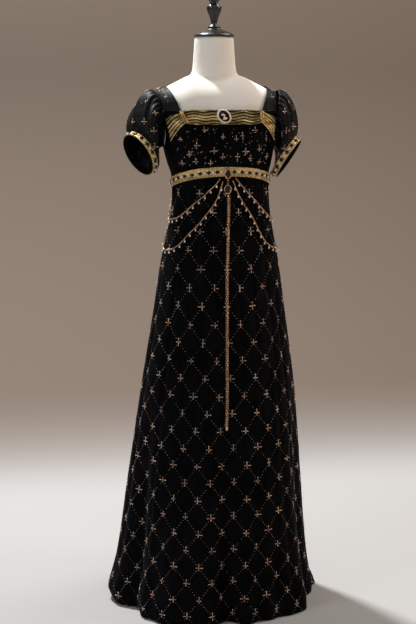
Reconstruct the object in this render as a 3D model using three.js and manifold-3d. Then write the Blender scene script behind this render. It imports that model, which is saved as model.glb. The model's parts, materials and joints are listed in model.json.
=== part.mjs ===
// Regency gown on a limbless dress form. Millimetres, +Z up, the front faces -Y, the origin is on the floor.
import * as THREE from 'three';
import { mergeVertices } from 'three/addons/utils/BufferGeometryUtils.js';
import Module from 'manifold-3d';

const wasm = await Module();
wasm.setup();

// ---- driving dimensions -------------------------------------------------------------------------------------
const WALL = 2.0; // thickness of the velvet
const SEAM = 0.3; // gap between neighbouring pieces
const HEM = 3; // the hem hangs this far above the floor
const TORSO_TOP = 1335; // level of the square neckline and of the shoulder pieces' ends
const STRAP_INNER = [108, 135]; // inner edge of a shoulder piece: at the neckline and on top of the shoulder
const STRAP_OUTER = [152, 165]; // outer edge of a shoulder piece
const BELT_WIDTH = 25;
const BELT_SIDE = 1157; // the belt's top edge at the sides
const BELT_RISE = 35; // the belt stands this much higher at the front
const ARMHOLE = { y: -20, z: 1315, halfDepth: 58, halfHeight: 73 };
const UNDERARM = 1240;
const CUFF_RADIUS = 58;
const CUFF_BAND = 19;
const FORM_CLEARANCE = 3.5; // air between the cloth and the dress form
const FORM_BOTTOM = 850;
const RIDGE_Y = -8; // the shoulder line runs this far in front of the neck's axis

// Cross-sections of the gown's outer face: height, centre x and y, half width, front and back depth, squareness.
const SECTIONS = [
  [0, -6, 12, 277, 284, 300, 2.0],
  [35, -8, 12, 280, 282, 300, 2.0],
  [60, -8, 12, 275, 278, 296, 2.0],
  [120, -5, 10, 262, 264, 282, 2.0],
  [200, -3, 6, 251, 252, 266, 2.0],
  [325, 0, 2, 238, 230, 246, 2.0],
  [480, 5, -2, 221, 206, 222, 2.0],
  [615, 9, -6, 205, 187, 197, 2.0],
  [800, 11, -14, 178, 158, 160, 2.0],
  [940, 11, -22, 158, 133, 134, 2.0],
  [1045, 12, -27, 137, 113, 112, 2.0],
  [1096, 12, -29, 131, 106, 103, 2.0],
  [1165, 10, -30, 131, 101, 96, 2.0],
  [1200, 8, -29, 140, 110, 97, 2.1],
  [1240, 6, -28, 148, 118, 100, 2.3],
  [1280, 4, -26, 154, 114, 102, 2.4],
  [1310, 2, -24, 160, 104, 101, 2.5],
  [1335, 1, -22, 166, 96, 98, 2.6],
];

// Valleys between the skirt's organ-pipe folds: angle, depth at the hem, half width in degrees, height of the start.
const VALLEYS = [
  [-1.5, 42, 7, 870], [17, 16, 5, 750], [30, 12, 5, 800], [64, 34, 8, 700], [84, 12, 5, 500],
  [106, 20, 7, 950], [127, 22, 7, 950], [149, 20, 7, 950], [172, 24, 7, 950],
  [-26, 6, 8, 500], [-45, 16, 7, 780], [-65, 46, 9, 620],
  [-104, 20, 7, 950], [-126, 22, 7, 950], [-148, 20, 7, 950], [-172, 18, 7, 950],
];
// Places where the hem reaches out further, or curls in: angle, reach, half width in degrees, height it fades in.
const HEM_LOBES = [[-40, 14, 12, 300], [48, 12, 12, 300], [95, 24, 10, 55], [-96, -12, 16, 30]];
const FOLD_SWELL = 8; // the ridges swell by this much at the hem
const FOLDS_FROM = 950; // no fold reaches above this height

// Bead chains: [angle in degrees, height] of hand-placed points on the skirt, from the brooch to the belt's side back.
const SWAG_ROUTES = {
  swag_upper_right: [[-8.5, 1161], [-14, 1145], [-21, 1131], [-29, 1114], [-39, 1097], [-49, 1079], [-57, 1066],
    [-65, 1057], [-74, 1052], [-83, 1050], [-91, 1053], [-99, 1064], [-106, 1080], [-112, 1103], [-116, 1126]],
  swag_lower_right: [[-5.5, 1155], [-8.5, 1134], [-12, 1113], [-17, 1093], [-23, 1074], [-29, 1056], [-35, 1038],
    [-42, 1021], [-49, 1002], [-56, 985], [-66, 974], [-78, 971], [-90, 978], [-102, 1000], [-113, 1037],
    [-122, 1084], [-128, 1126]],
  swag_upper_left: [[8.5, 1163], [14, 1148], [20, 1132], [28, 1114], [37, 1095], [47, 1075], [56, 1061],
    [64, 1053], [73, 1049], [82, 1048], [90, 1052], [98, 1062], [106, 1080], [112, 1103], [116, 1126]],
  swag_lower_left: [[5.5, 1156], [9, 1135], [13, 1113], [18, 1093], [24, 1073], [29, 1054], [33, 1034],
    [37, 1016], [41, 999], [48, 985], [57, 976], [68, 971], [80, 970], [92, 978], [104, 1002], [114, 1042],
    [123, 1088], [128, 1126]],
};
const SWAG_DIAMETER = 5;
const TAIL_ROUTE = [[0, 1119], [-0.4, 1090], [-1, 1050], [-1.5, 1012], [-2, 977], [-2.5, 938], [-3, 900], [-3.2, 848],
  [-3.3, 810], [-3.4, 770], [-3.4, 731], [-3.4, 692], [-3.3, 646], [-3.2, 600], [-3.1, 555], [-3, 510]];
const TAIL_DIAMETER = 9;
const CORD_LIFT = 1.5; // a chain lies this far off the cloth

// ---- materials ----------------------------------------------------------------------------------------------
const look = (color, roughness, metalness) => () => new THREE.MeshStandardMaterial({ color, roughness, metalness });
const velvet = look(0x0b0b0f, 0.9, 0);
const lame = look(0x9a7a34, 0.35, 0.8);
const gold = look(0xc39a5c, 0.35, 1);
const jet = look(0x050506, 0.1, 0);
const relief = look(0xe8cdbd, 0.5, 0);
const linen = look(0xf0eee8, 0.85, 0);
const blackSatin = look(0x121212, 0.4, 0);
const steel = look(0xb8b8ba, 0.3, 1);

// ---- geometry helpers ---------------------------------------------------------------------------------------
const radians = THREE.MathUtils.degToRad;
const mix = THREE.MathUtils.lerp;
const clamp = THREE.MathUtils.clamp;
const group = new THREE.Group();

function add(name, geometry, material) {
  const mesh = new THREE.Mesh(geometry, material());
  mesh.name = name;
  group.add(mesh);
  return mesh;
}

// Smooth curve through the sections' values, with tangents from the two neighbours.
function section(z) {
  const last = SECTIONS.length - 1;
  let i = 0;
  while (i < last - 1 && z > SECTIONS[i + 1][0]) i += 1;
  const tangent = (k, c) => {
    const before = SECTIONS[Math.max(k - 1, 0)];
    const after = SECTIONS[Math.min(k + 1, last)];
    return (after[c] - before[c]) / (after[0] - before[0]);
  };
  const [from, to] = [SECTIONS[i], SECTIONS[i + 1]];
  const span = to[0] - from[0];
  const t = clamp((z - from[0]) / span, 0, 1);
  const at = (c) =>
    (2 * t ** 3 - 3 * t ** 2 + 1) * from[c] + (t ** 3 - 2 * t ** 2 + t) * span * tangent(i, c)
    + (3 * t ** 2 - 2 * t ** 3) * to[c] + (t ** 3 - t ** 2) * span * tangent(i + 1, c);
  return { cx: at(1), cy: at(2), a: at(3), front: at(4), back: at(5), n: at(6) };
}

// Point on a section at an angle: 0 is the front, 90 degrees is +X. The inset makes the section smaller.
function sectionPoint(angle, z, inset = 0) {
  const s = section(z);
  const [sin, cos] = [Math.sin(angle), Math.cos(angle)];
  const depth = (cos > 0 ? s.front : s.back) - inset;
  const power = 2 / s.n;
  const x = s.cx + (s.a - inset) * Math.sign(sin) * Math.abs(sin) ** power;
  const y = s.cy - depth * Math.sign(cos) * Math.abs(cos) ** power;
  return new THREE.Vector3(x, y, z);
}

// How far the skirt stands out of its plain section.
function foldHeight(degrees, z) {
  let height = FOLD_SWELL * clamp((FOLDS_FROM - z) / FOLDS_FROM, 0, 1);
  for (const [at, depth, width, start] of VALLEYS) {
    const away = THREE.MathUtils.euclideanModulo(degrees - at + 180, 360) - 180;
    height -= depth * clamp((start - z) / start, 0, 1) ** 1.2 * Math.exp(-((away / width) ** 2));
  }
  for (const [at, reach, width, fade] of HEM_LOBES) {
    const away = THREE.MathUtils.euclideanModulo(degrees - at + 180, 360) - 180;
    height += reach * clamp(1 - z / fade, 0, 1) * Math.exp(-((away / width) ** 2));
  }
  return height;
}

function skirtPoint(angle, z) {
  const p = sectionPoint(angle, z);
  const along = sectionPoint(angle + 0.001, z).sub(sectionPoint(angle - 0.001, z)).normalize();
  return p.add(new THREE.Vector3(along.y, -along.x, 0).multiplyScalar(foldHeight(angle * 180 / Math.PI, z)));
}

const beltTop = (angle) => {
  const c = Math.cos(angle);
  return BELT_SIDE + BELT_RISE * (c + Math.sqrt(c * c + 0.02)) / 2;
};
const waistSeam = (angle) => beltTop(angle) - BELT_WIDTH / 2;

// Shoulder line's height over the floor, and the shoulder's surface: x across, turn from 0 at the front of
// the neckline, over the top at 90 degrees, to 180 degrees at the back.
const ridge = (x) => 1436 - 0.5 * (Math.max(Math.abs(x), 72) - 62.5);
function shoulderPoint(x, turn, inset = 0) {
  const s = section(TORSO_TOP);
  const reach = Math.min(Math.abs(x - s.cx) / (s.a - inset), 1);
  const depth = (turn < Math.PI / 2 ? s.front : -s.back) + (turn < Math.PI / 2 ? -inset : inset);
  const edge = s.cy - depth * (1 - reach ** s.n) ** (1 / s.n);
  const fullness = turn < Math.PI / 2 ? 1 : 0.65; // the upper back stands more upright than the chest
  const y = RIDGE_Y + (edge - RIDGE_Y) * Math.abs(Math.cos(turn)) ** fullness;
  return new THREE.Vector3(x, y, TORSO_TOP + (ridge(x) - inset - TORSO_TOP) * Math.sin(turn));
}

// Closed solid between two grids of points. A wrapped grid closes on itself around its first direction.
function solidBetween(outer, inner, wrap = false) {
  const [nu, nv] = [outer.length, outer[0].length];
  const position = [];
  for (const grid of [outer, inner]) for (const row of grid) for (const p of row) position.push(p.x, p.y, p.z);
  const at = (layer, i, j) => (layer * nu + (i % nu)) * nv + j;
  const index = [];
  const quad = (a, b, c, d) => index.push(a, b, c, a, c, d);
  const steps = wrap ? nu : nu - 1;
  for (let i = 0; i < steps; i += 1) {
    for (let j = 0; j < nv - 1; j += 1) {
      quad(at(0, i, j), at(0, i + 1, j), at(0, i + 1, j + 1), at(0, i, j + 1));
      quad(at(1, i, j), at(1, i, j + 1), at(1, i + 1, j + 1), at(1, i + 1, j));
    }
    quad(at(0, i, 0), at(1, i, 0), at(1, i + 1, 0), at(0, i + 1, 0));
    quad(at(0, i, nv - 1), at(0, i + 1, nv - 1), at(1, i + 1, nv - 1), at(1, i, nv - 1));
  }
  for (let j = 0; !wrap && j < nv - 1; j += 1) {
    quad(at(0, 0, j), at(0, 0, j + 1), at(1, 0, j + 1), at(1, 0, j));
    quad(at(0, nu - 1, j), at(1, nu - 1, j), at(1, nu - 1, j + 1), at(0, nu - 1, j + 1));
  }
  return facingOut(position, index);
}

function facingOut(position, index) {
  const corner = (k) => new THREE.Vector3(...position.slice(3 * k, 3 * k + 3));
  let volume = 0;
  for (let k = 0; k < index.length; k += 3) {
    volume += corner(index[k]).dot(corner(index[k + 1]).cross(corner(index[k + 2])));
  }
  if (volume < 0) {
    for (let k = 0; k < index.length; k += 3) [index[k + 1], index[k + 2]] = [index[k + 2], index[k + 1]];
  }
  const geometry = new THREE.BufferGeometry();
  geometry.setAttribute('position', new THREE.Float32BufferAttribute(position, 3));
  geometry.setIndex(index);
  geometry.computeVertexNormals();
  return geometry;
}

// Panel of cloth on a surface(u, v), u and v from 0 to 1, between two offsets along the surface's outward side.
// rows lists the values of v, and extra(u, v) lifts both faces where the cloth is folded.
function panel(surface, nu, rows, low, high, extra = () => 0) {
  const step = 1e-4;
  const outer = [];
  const inner = [];
  for (let i = 0; i <= nu; i += 1) {
    const [outerRow, innerRow] = [[], []];
    for (const v of rows) {
      const u = i / nu;
      const du = surface(u + step, v).sub(surface(u - step, v));
      const dv = surface(u, v + step).sub(surface(u, v - step));
      const normal = du.cross(dv).normalize();
      const lift = extra(u, v);
      outerRow.push(surface(u, v).addScaledVector(normal, high + lift));
      innerRow.push(surface(u, v).addScaledVector(normal, low + lift));
    }
    outer.push(outerRow);
    inner.push(innerRow);
  }
  return solidBetween(outer, inner);
}

// Surface between two angles in degrees and two height functions of the angle, low to high.
function wrapSurface(fromDeg, toDeg, bottom, top, pointAt) {
  return (u, v) => {
    const angle = radians(mix(fromDeg, toDeg, u));
    return pointAt(angle, mix(bottom(angle), top(angle), v));
  };
}

const even = (count) => Array.from({ length: count + 1 }, (_, k) => k / count);
const halfGap = (radius) => THREE.MathUtils.radToDeg(SEAM / 2 / radius);

// ---- skirt: six flared panels -------------------------------------------------------------------------------
const SKIRT_PANELS = {
  skirt_front: [-33, 33],
  skirt_side_front_left: [33, 90],
  skirt_side_back_left: [90, 147],
  skirt_back: [147, 213],
  skirt_side_back_right: [213, 270],
  skirt_side_front_right: [270, 327],
};
// Shares of the skirt's height where its solids have a row of points: close together where it curves.
const SKIRT_ROWS = [0, 0.03, 0.1, 0.24, 0.4, 0.56, 0.7, 0.8, 0.87, 0.925, 0.965, 0.987, 1];
for (const [name, [from, to]] of Object.entries(SKIRT_PANELS)) {
  const gap = halfGap(120);
  add(name, panel(
    wrapSurface(from + gap, to - gap, () => HEM, (angle) => waistSeam(angle) - SEAM / 2, skirtPoint),
    13, SKIRT_ROWS, -WALL, 0), velvet);
}

// ---- bodice -------------------------------------------------------------------------------------------------
const SIDE_SEAM = 62; // degrees from the front to the seam under the front of the armhole
const bodiceBottom = (angle) => waistSeam(angle) + SEAM / 2;
const squareTop = () => TORSO_TOP - SEAM / 2;
const armholeTop = (angle) => {
  const across = (Math.abs(angle) * 180 / Math.PI - SIDE_SEAM) / (180 - 2 * SIDE_SEAM);
  return squareTop() - (TORSO_TOP - UNDERARM) * Math.sin(Math.PI * clamp(across, 0, 1)) ** 0.8;
};
// Soft gathers below the sash, flat again at the belt.
const gathers = (u, v) => 1.6 * Math.sin(Math.PI * clamp(v / 0.75, 0, 1)) * (1 - Math.cos(16 * Math.PI * u)) / 2;
const bodiceGap = halfGap(100);
add('bodice_front', panel(
  wrapSurface(-SIDE_SEAM + bodiceGap, SIDE_SEAM - bodiceGap, bodiceBottom, squareTop, sectionPoint),
  16, even(5), -WALL, 0, gathers), velvet);
for (const [side, sign] of [['left', 1], ['right', -1]]) {
  const ends = (from, to) => (sign > 0 ? [from, to] : [-to, -from]);
  add(`bodice_side_${side}`, panel(
    wrapSurface(...ends(SIDE_SEAM + bodiceGap, 180 - SIDE_SEAM - bodiceGap), bodiceBottom, armholeTop, sectionPoint),
    8, even(5), -WALL, 0), velvet);
  add(`bodice_back_${side}`, panel(
    wrapSurface(...ends(180 - SIDE_SEAM + bodiceGap, 180 - bodiceGap), bodiceBottom, squareTop, sectionPoint),
    7, even(5), -WALL, 0), velvet);
  const strapSurface = (u, v) => {
    const turn = Math.PI * v;
    const rise = Math.sin(turn);
    const inner = mix(...STRAP_INNER, rise);
    const outer = mix(...STRAP_OUTER, rise);
    return shoulderPoint(sign > 0 ? mix(inner, outer, u) : -mix(outer, inner, u), turn);
  };
  const endGap = 0.003;
  add(`strap_${side}`, panel((u, v) => strapSurface(u, mix(endGap, 1 - endGap, v)), 2, even(10), -WALL, 0), velvet);
}

// ---- gold pleated sash and its clasps -----------------------------------------------------------------------
const SASH_EDGE = 31; // degrees from the front to the clasps
const SASH_LEVELS = [1299, 1337];
const sashPleats = (u, v) => 0.8 * Math.cos(6 * Math.PI * v);
const level = (z) => () => z;
const sashSurface = (from, to, bottom, top) => wrapSurface(from, to, bottom, top, (angle, z) =>
  sectionPoint(angle, Math.min(z, TORSO_TOP)).setZ(z));
add('sash_front', panel(
  sashSurface(-SASH_EDGE, SASH_EDGE, level(SASH_LEVELS[0]), level(SASH_LEVELS[1])),
  12, even(6), 1.6, 3.4, sashPleats), lame);
const CLASP = { halfWidth: 2.4, low: 1303, high: 1334, lean: 2.5 };
for (const [side, sign] of [['left', 1], ['right', -1]]) {
  const centre = SASH_EDGE + 1.2;
  add(`clasp_${side}`, panel((u, v) => {
    const degrees = sign * centre + mix(-CLASP.halfWidth, CLASP.halfWidth, u) - CLASP.lean * (v - 0.5);
    return sectionPoint(radians(degrees), mix(CLASP.low, CLASP.high, v));
  }, 2, even(4), 5.0, 8.5), gold);
  // The wing fans out from the clasp to the armhole's seam.
  const spread = (angle) => clamp((Math.abs(angle) * 180 / Math.PI - centre) / (60.5 - centre), 0, 1);
  const wingTop = (angle) => mix(1332, 1311, spread(angle) ** 1.4);
  const wingBottom = (angle) => mix(1304, 1257, spread(angle) ** 1.2);
  const ends = sign > 0 ? [centre - 0.8, 60.5] : [-60.5, -centre + 0.8];
  add(`sash_wing_${side}`, panel(sashSurface(...ends, wingBottom, wingTop), 6, even(4), 1.6, 3.4, (u, v) =>
    0.8 * Math.cos(4 * Math.PI * v)), lame);
}

// ---- jewels: flat ovals standing in front of the cloth, facing -Y -------------------------------------------
function oval(halfWidth, halfHeight) {
  return new THREE.Shape().absellipse(0, 0, halfWidth, halfHeight, 0, Math.PI * 2);
}
function ovalRing(halfWidth, halfHeight, rim, depth) {
  const shape = oval(halfWidth, halfHeight);
  shape.holes.push(new THREE.Path().absellipse(0, 0, halfWidth - rim, halfHeight - rim, 0, Math.PI * 2));
  return new THREE.ExtrudeGeometry(shape, { depth, bevelEnabled: false, curveSegments: 8 });
}
function ovalDome(halfWidth, halfHeight, depth) {
  const profile = [new THREE.Vector2(0, 0), new THREE.Vector2(1, 0)];
  for (let k = 1; k <= 3; k += 1) {
    const turn = (k / 4) * Math.PI / 2;
    profile.push(new THREE.Vector2(Math.cos(turn), Math.sin(turn)));
  }
  profile.push(new THREE.Vector2(0, 1));
  return new THREE.LatheGeometry(profile, 16).rotateX(Math.PI / 2).scale(halfWidth, halfHeight, depth);
}
// Places a flat jewel: its depth grows towards -Y from its back, its top leans back and it tilts in its plane.
function jewel(name, geometry, material, [x, back, z], lean = 0, tilt = 0) {
  const mesh = add(name, geometry, material);
  mesh.rotation.set(Math.PI / 2 - lean, 0, 0);
  mesh.position.set(x, back, z);
  mesh.geometry.rotateZ(tilt);
  return mesh;
}
const front = (z) => {
  const s = section(z);
  return { x: s.cx, y: s.cy - s.front };
};
// How far the cloth leans back from bottom to top over a jewel's height.
const frontLean = (z, half) => Math.atan2(front(z + half).y - front(z - half).y, 2 * half);
const onFront = (z, x, lift, lean) => [x, front(z).y - lift * Math.cos(lean), z + lift * Math.sin(lean)];
const CAMEO = { z: 1318, halfWidth: 17.5, halfHeight: 20.5, rim: 4, tilt: radians(35) };
const cameoX = front(CAMEO.z).x - 1;
const cameoLean = frontLean(CAMEO.z, 17);
const cameoAt = (lift) => onFront(CAMEO.z, cameoX, lift, cameoLean);
jewel('cameo_frame', ovalRing(CAMEO.halfWidth, CAMEO.halfHeight, CAMEO.rim, 5), gold, cameoAt(5.6), cameoLean,
  CAMEO.tilt);
const cameoInner = [CAMEO.halfWidth - CAMEO.rim - SEAM, CAMEO.halfHeight - CAMEO.rim - SEAM];
jewel('cameo_stone', new THREE.ExtrudeGeometry(oval(...cameoInner), { depth: 3, bevelEnabled: false, curveSegments: 8 }),
  jet, cameoAt(5.6), cameoLean, CAMEO.tilt);
jewel('cameo_relief', ovalDome(7, 9.5, 3), relief, cameoAt(5.6 + 3 + SEAM), cameoLean, CAMEO.tilt);

const BROOCH = { z: 1175, halfWidth: 10, halfHeight: 14, rim: 3.5 };
const broochX = front(BROOCH.z).x;
const broochLean = frontLean(BROOCH.z, BROOCH.halfHeight);
const broochAt = onFront(BROOCH.z, broochX, 5.2, broochLean);
jewel('brooch_frame', ovalRing(BROOCH.halfWidth, BROOCH.halfHeight, BROOCH.rim, 4), gold, broochAt, broochLean);
jewel('brooch_stone', ovalDome(BROOCH.halfWidth - BROOCH.rim - SEAM, BROOCH.halfHeight - BROOCH.rim - SEAM, 6.5),
  jet, broochAt, broochLean);
const DROP = { z: 1133.5, halfWidth: 10, halfHeight: 11.5, rim: 2.6 };
const dropBack = front(DROP.z).y - 4;
const linkLow = DROP.z + DROP.halfHeight + SEAM;
const linkHigh = BROOCH.z - BROOCH.halfHeight - 2.5; // the brooch leans forward over the link
jewel('drop_link', ovalRing(2.6, (linkHigh - linkLow) / 2, 1.2, 2.4), gold,
  [broochX, dropBack, (linkLow + linkHigh) / 2]);
jewel('drop_ring', ovalRing(DROP.halfWidth, DROP.halfHeight, DROP.rim, 3), gold, [broochX, dropBack, DROP.z]);
jewel('drop_stone', ovalDome(DROP.halfWidth - DROP.rim - SEAM, DROP.halfHeight - DROP.rim - SEAM, 5), jet,
  [broochX, dropBack, DROP.z]);

// ---- jewelled belt ------------------------------------------------------------------------------------------
const beltBottom = (angle) => beltTop(angle) - BELT_WIDTH;
for (const [name, from, to] of [['belt_front', -90, 90], ['belt_back', 90, 270]]) {
  const gap = halfGap(135);
  add(name, panel(wrapSurface(from + gap, to - gap, beltBottom, beltTop, sectionPoint), 22, even(2), 1.9, 3.9), gold);
}

// ---- puff sleeves -------------------------------------------------------------------------------------------
// Centre of each cuff's edge and the way the cuff faces.
const CUFFS = {
  right: { sign: -1, centre: new THREE.Vector3(-212, -45, 1220), facing: new THREE.Vector3(-0.81, -0.37, -0.46) },
  left: { sign: 1, centre: new THREE.Vector3(195, -45, 1207), facing: new THREE.Vector3(0.774, -0.314, -0.553) },
};
// Half width of the body where a point at (y, z) on the armhole touches it.
function sideReach(y, z) {
  const s = section(Math.min(z, TORSO_TOP));
  const rise = clamp((z - TORSO_TOP) / (ridge(STRAP_OUTER[1]) - TORSO_TOP), 0, 0.99);
  const flatY = RIDGE_Y + (y - RIDGE_Y) / Math.sqrt(1 - rise * rise);
  const depth = flatY < s.cy ? s.front : s.back;
  const reach = s.a * Math.max(1 - (Math.abs(flatY - s.cy) / depth) ** s.n, 0.2) ** (1 / s.n);
  return z < TORSO_TOP ? reach : Math.max(reach, mix(...STRAP_OUTER, rise) + 1);
}
const SLEEVE_GAP = WALL + 0.5;
// Point on a sleeve: around from 0 at the top, towards the front, along from 0 at the armhole to 1 at the cuff's edge.
function sleevePoint({ sign, centre, facing }, around, along) {
  const n = facing.clone().normalize();
  const up = new THREE.Vector3(0, 0, 1).addScaledVector(n, -n.z).normalize();
  const forward = new THREE.Vector3().crossVectors(n, up).multiplyScalar(sign);
  const [cos, sin] = [Math.cos(around), Math.sin(around)];
  const y = ARMHOLE.y - ARMHOLE.halfDepth * sin;
  const z = ARMHOLE.z + ARMHOLE.halfHeight * cos;
  const root = new THREE.Vector3(section(Math.min(z, TORSO_TOP)).cx + sign * (sideReach(y, z) + SLEEVE_GAP), y, z);
  const radial = up.clone().multiplyScalar(cos).addScaledVector(forward, sin);
  const edge = centre.clone().addScaledVector(radial, CUFF_RADIUS);
  const band = edge.clone().addScaledVector(n, -CUFF_BAND);
  const bandShare = 0.86;
  if (along >= bandShare) return band.lerp(edge, (along - bandShare) / (1 - bandShare));
  const head = root.clone().add(new THREE.Vector3(sign * 34, -14 * sin, 8 * cos));
  const full = band.clone().addScaledVector(radial, 24 + 13 * cos).addScaledVector(n, 4);
  const curve = new THREE.CubicBezierCurve3(root, head, full, band);
  const p = curve.getPoint(along / bandShare);
  const plump = Math.sin(Math.PI * along / bandShare);
  p.addScaledVector(radial, plump * 2.2 * Math.cos(11 * around));
  const body = section(clamp(p.z, 1160, TORSO_TOP));
  const clear = body.a + SLEEVE_GAP + 3;
  if (along > 0.2 && Math.abs(p.x - body.cx) < clear) p.x = body.cx + sign * clear;
  return p;
}
function tubePanel(pointAt, aroundSteps, levels, low, high) {
  const [outer, inner] = [[], []];
  const step = 1e-3;
  for (let i = 0; i < aroundSteps; i += 1) {
    const around = 2 * Math.PI * i / aroundSteps;
    const [outerRow, innerRow] = [[], []];
    for (const along of levels) {
      const across = pointAt(around + step, along).sub(pointAt(around - step, along));
      const down = pointAt(around, Math.min(along + step, 1)).sub(pointAt(around, Math.max(along - step, 0)));
      const normal = across.cross(down).normalize();
      outerRow.push(pointAt(around, along).addScaledVector(normal, high));
      innerRow.push(pointAt(around, along).addScaledVector(normal, low));
    }
    outer.push(outerRow);
    inner.push(innerRow);
  }
  return solidBetween(outer, inner, true);
}
for (const [side, cuff] of Object.entries(CUFFS)) {
  // The two sleeves are turned around in opposite directions, so that both walls lie inside their outer face.
  const sleeve = (around, along) => sleevePoint(cuff, cuff.sign * around, along);
  add(`sleeve_${side}`, tubePanel(sleeve, 22, [0, 0.15, 0.33, 0.5, 0.68, 0.86, 1], -WALL, 0), velvet);
  add(`cuff_trim_${side}`, tubePanel(sleeve, 22, [0.875, 0.995], 0.8, 3.2), gold);
}

// ---- bead chains --------------------------------------------------------------------------------------------
function chain(name, route, diameter, steps) {
  const points = route.map(([degrees, z]) => {
    const angle = radians(degrees);
    const p = skirtPoint(angle, z);
    const s = section(z);
    const away = new THREE.Vector3(p.x - s.cx, p.y - s.cy, 0).normalize();
    return p.addScaledVector(away, diameter / 2 + CORD_LIFT);
  });
  const curve = new THREE.CatmullRomCurve3(points);
  const shape = new THREE.Shape();
  for (let k = 0; k < 8; k += 1) {
    const turn = Math.PI * k / 4;
    const [x, y] = [diameter / 2 * Math.cos(turn), diameter / 2 * Math.sin(turn)];
    if (k === 0) shape.moveTo(x, y);
    else shape.lineTo(x, y);
  }
  shape.closePath();
  add(name, new THREE.ExtrudeGeometry(shape, { steps, extrudePath: curve, bevelEnabled: false }), gold);
}
for (const [name, route] of Object.entries(SWAG_ROUTES)) {
  chain(name, route, SWAG_DIAMETER, name.includes('lower') ? 30 : 24);
}
chain('chain_tail', TAIL_ROUTE, TAIL_DIAMETER, 24);

// ---- dress form ---------------------------------------------------------------------------------------------
const BODY_INSET = WALL + FORM_CLEARANCE;
const hipInset = (z) => BODY_INSET + 0.1 * Math.max(1100 - z, 0);
function formBody() {
  const turns = 36;
  const position = [];
  const index = [];
  const rings = [];
  const addRing = (pointAt) => {
    rings.push(position.length / 3);
    for (let i = 0; i < turns; i += 1) {
      const p = pointAt(2 * Math.PI * i / turns);
      position.push(p.x, p.y, p.z);
    }
  };
  for (const z of [FORM_BOTTOM, 940, 1045, 1110, 1160, 1200, 1240, 1280, TORSO_TOP]) {
    addRing((angle) => sectionPoint(angle, z, hipInset(z)));
  }
  for (const share of [0.25, 0.5, 0.75, 1]) {
    const turn = share * Math.PI / 2;
    addRing((angle) => {
      const base = sectionPoint(angle, TORSO_TOP, BODY_INSET);
      return shoulderPoint(base.x, Math.cos(angle) >= 0 ? turn : Math.PI - turn, BODY_INSET);
    });
  }
  for (let r = 0; r < rings.length - 1; r += 1) {
    for (let i = 0; i < turns; i += 1) {
      const next = (i + 1) % turns;
      const [a, b, c, d] = [rings[r] + i, rings[r] + next, rings[r + 1] + next, rings[r + 1] + i];
      index.push(a, b, c, a, c, d);
    }
  }
  const s = section(FORM_BOTTOM);
  position.push(s.cx, s.cy, FORM_BOTTOM);
  for (let i = 0; i < turns; i += 1) index.push(position.length / 3 - 1, (i + 1) % turns, i);
  return facingOut(position, index);
}
const NECK_PROFILE = [[0, 1388], [58, 1388], [61, 1430], [58, 1444], [56, 1462], [54, 1492], [52, 1528], [0, 1528]];
const latheOf = (profile, segments) =>
  new THREE.LatheGeometry(profile.map(([r, z]) => new THREE.Vector2(r, z)), segments).rotateX(Math.PI / 2);
function asManifold(geometry) {
  const bare = geometry.clone();
  bare.deleteAttribute('normal');
  bare.deleteAttribute('uv');
  const merged = mergeVertices(bare, 1e-3);
  const corners = [];
  const index = merged.index.array;
  for (let k = 0; k < index.length; k += 3) {
    const [a, b, c] = [index[k], index[k + 1], index[k + 2]];
    if (a !== b && b !== c && c !== a) corners.push(a, b, c);
  }
  return new wasm.Manifold(new wasm.Mesh({
    numProp: 3, vertProperties: merged.attributes.position.array, triVerts: new Uint32Array(corners),
  }));
}
function fromManifold(solid) {
  const mesh = solid.getMesh();
  return facingOut(Array.from(mesh.vertProperties), Array.from(mesh.triVerts));
}
add('form_body', fromManifold(asManifold(formBody()).add(asManifold(latheOf(NECK_PROFILE, 28)))), linen);
const NECK_TOP = 1528;
add('form_cap', latheOf([[0, NECK_TOP + SEAM], [53, NECK_TOP + SEAM], [53, 1533], [48, 1541], [36, 1547], [0, 1550]], 24),
  blackSatin);
add('form_finial', latheOf([[0, 1550.3], [17, 1550.3], [17, 1554], [12, 1557.5], [8.5, 1560.5], [8.5, 1566],
  [13.5, 1583], [19.8, 1601], [19, 1606], [13, 1612], [10.5, 1615.5], [13, 1620], [21.5, 1638], [18, 1649],
  [9, 1658.5], [0, 1661]], 16), blackSatin);
const BASE = { radius: 150, height: 18 };
add('form_base', latheOf([[0, 0], [BASE.radius - 2, 0], [BASE.radius, 2], [BASE.radius, 10], [BASE.radius - 14, 15],
  [30, BASE.height], [30, 40], [0, 40]], 36), steel);
const pole = new THREE.CylinderGeometry(12, 12, FORM_BOTTOM - 40 - 2 * SEAM, 20).rotateX(Math.PI / 2);
add('form_pole', pole, steel).position.set(0, 0, (FORM_BOTTOM + 40) / 2);

export default group;
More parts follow.
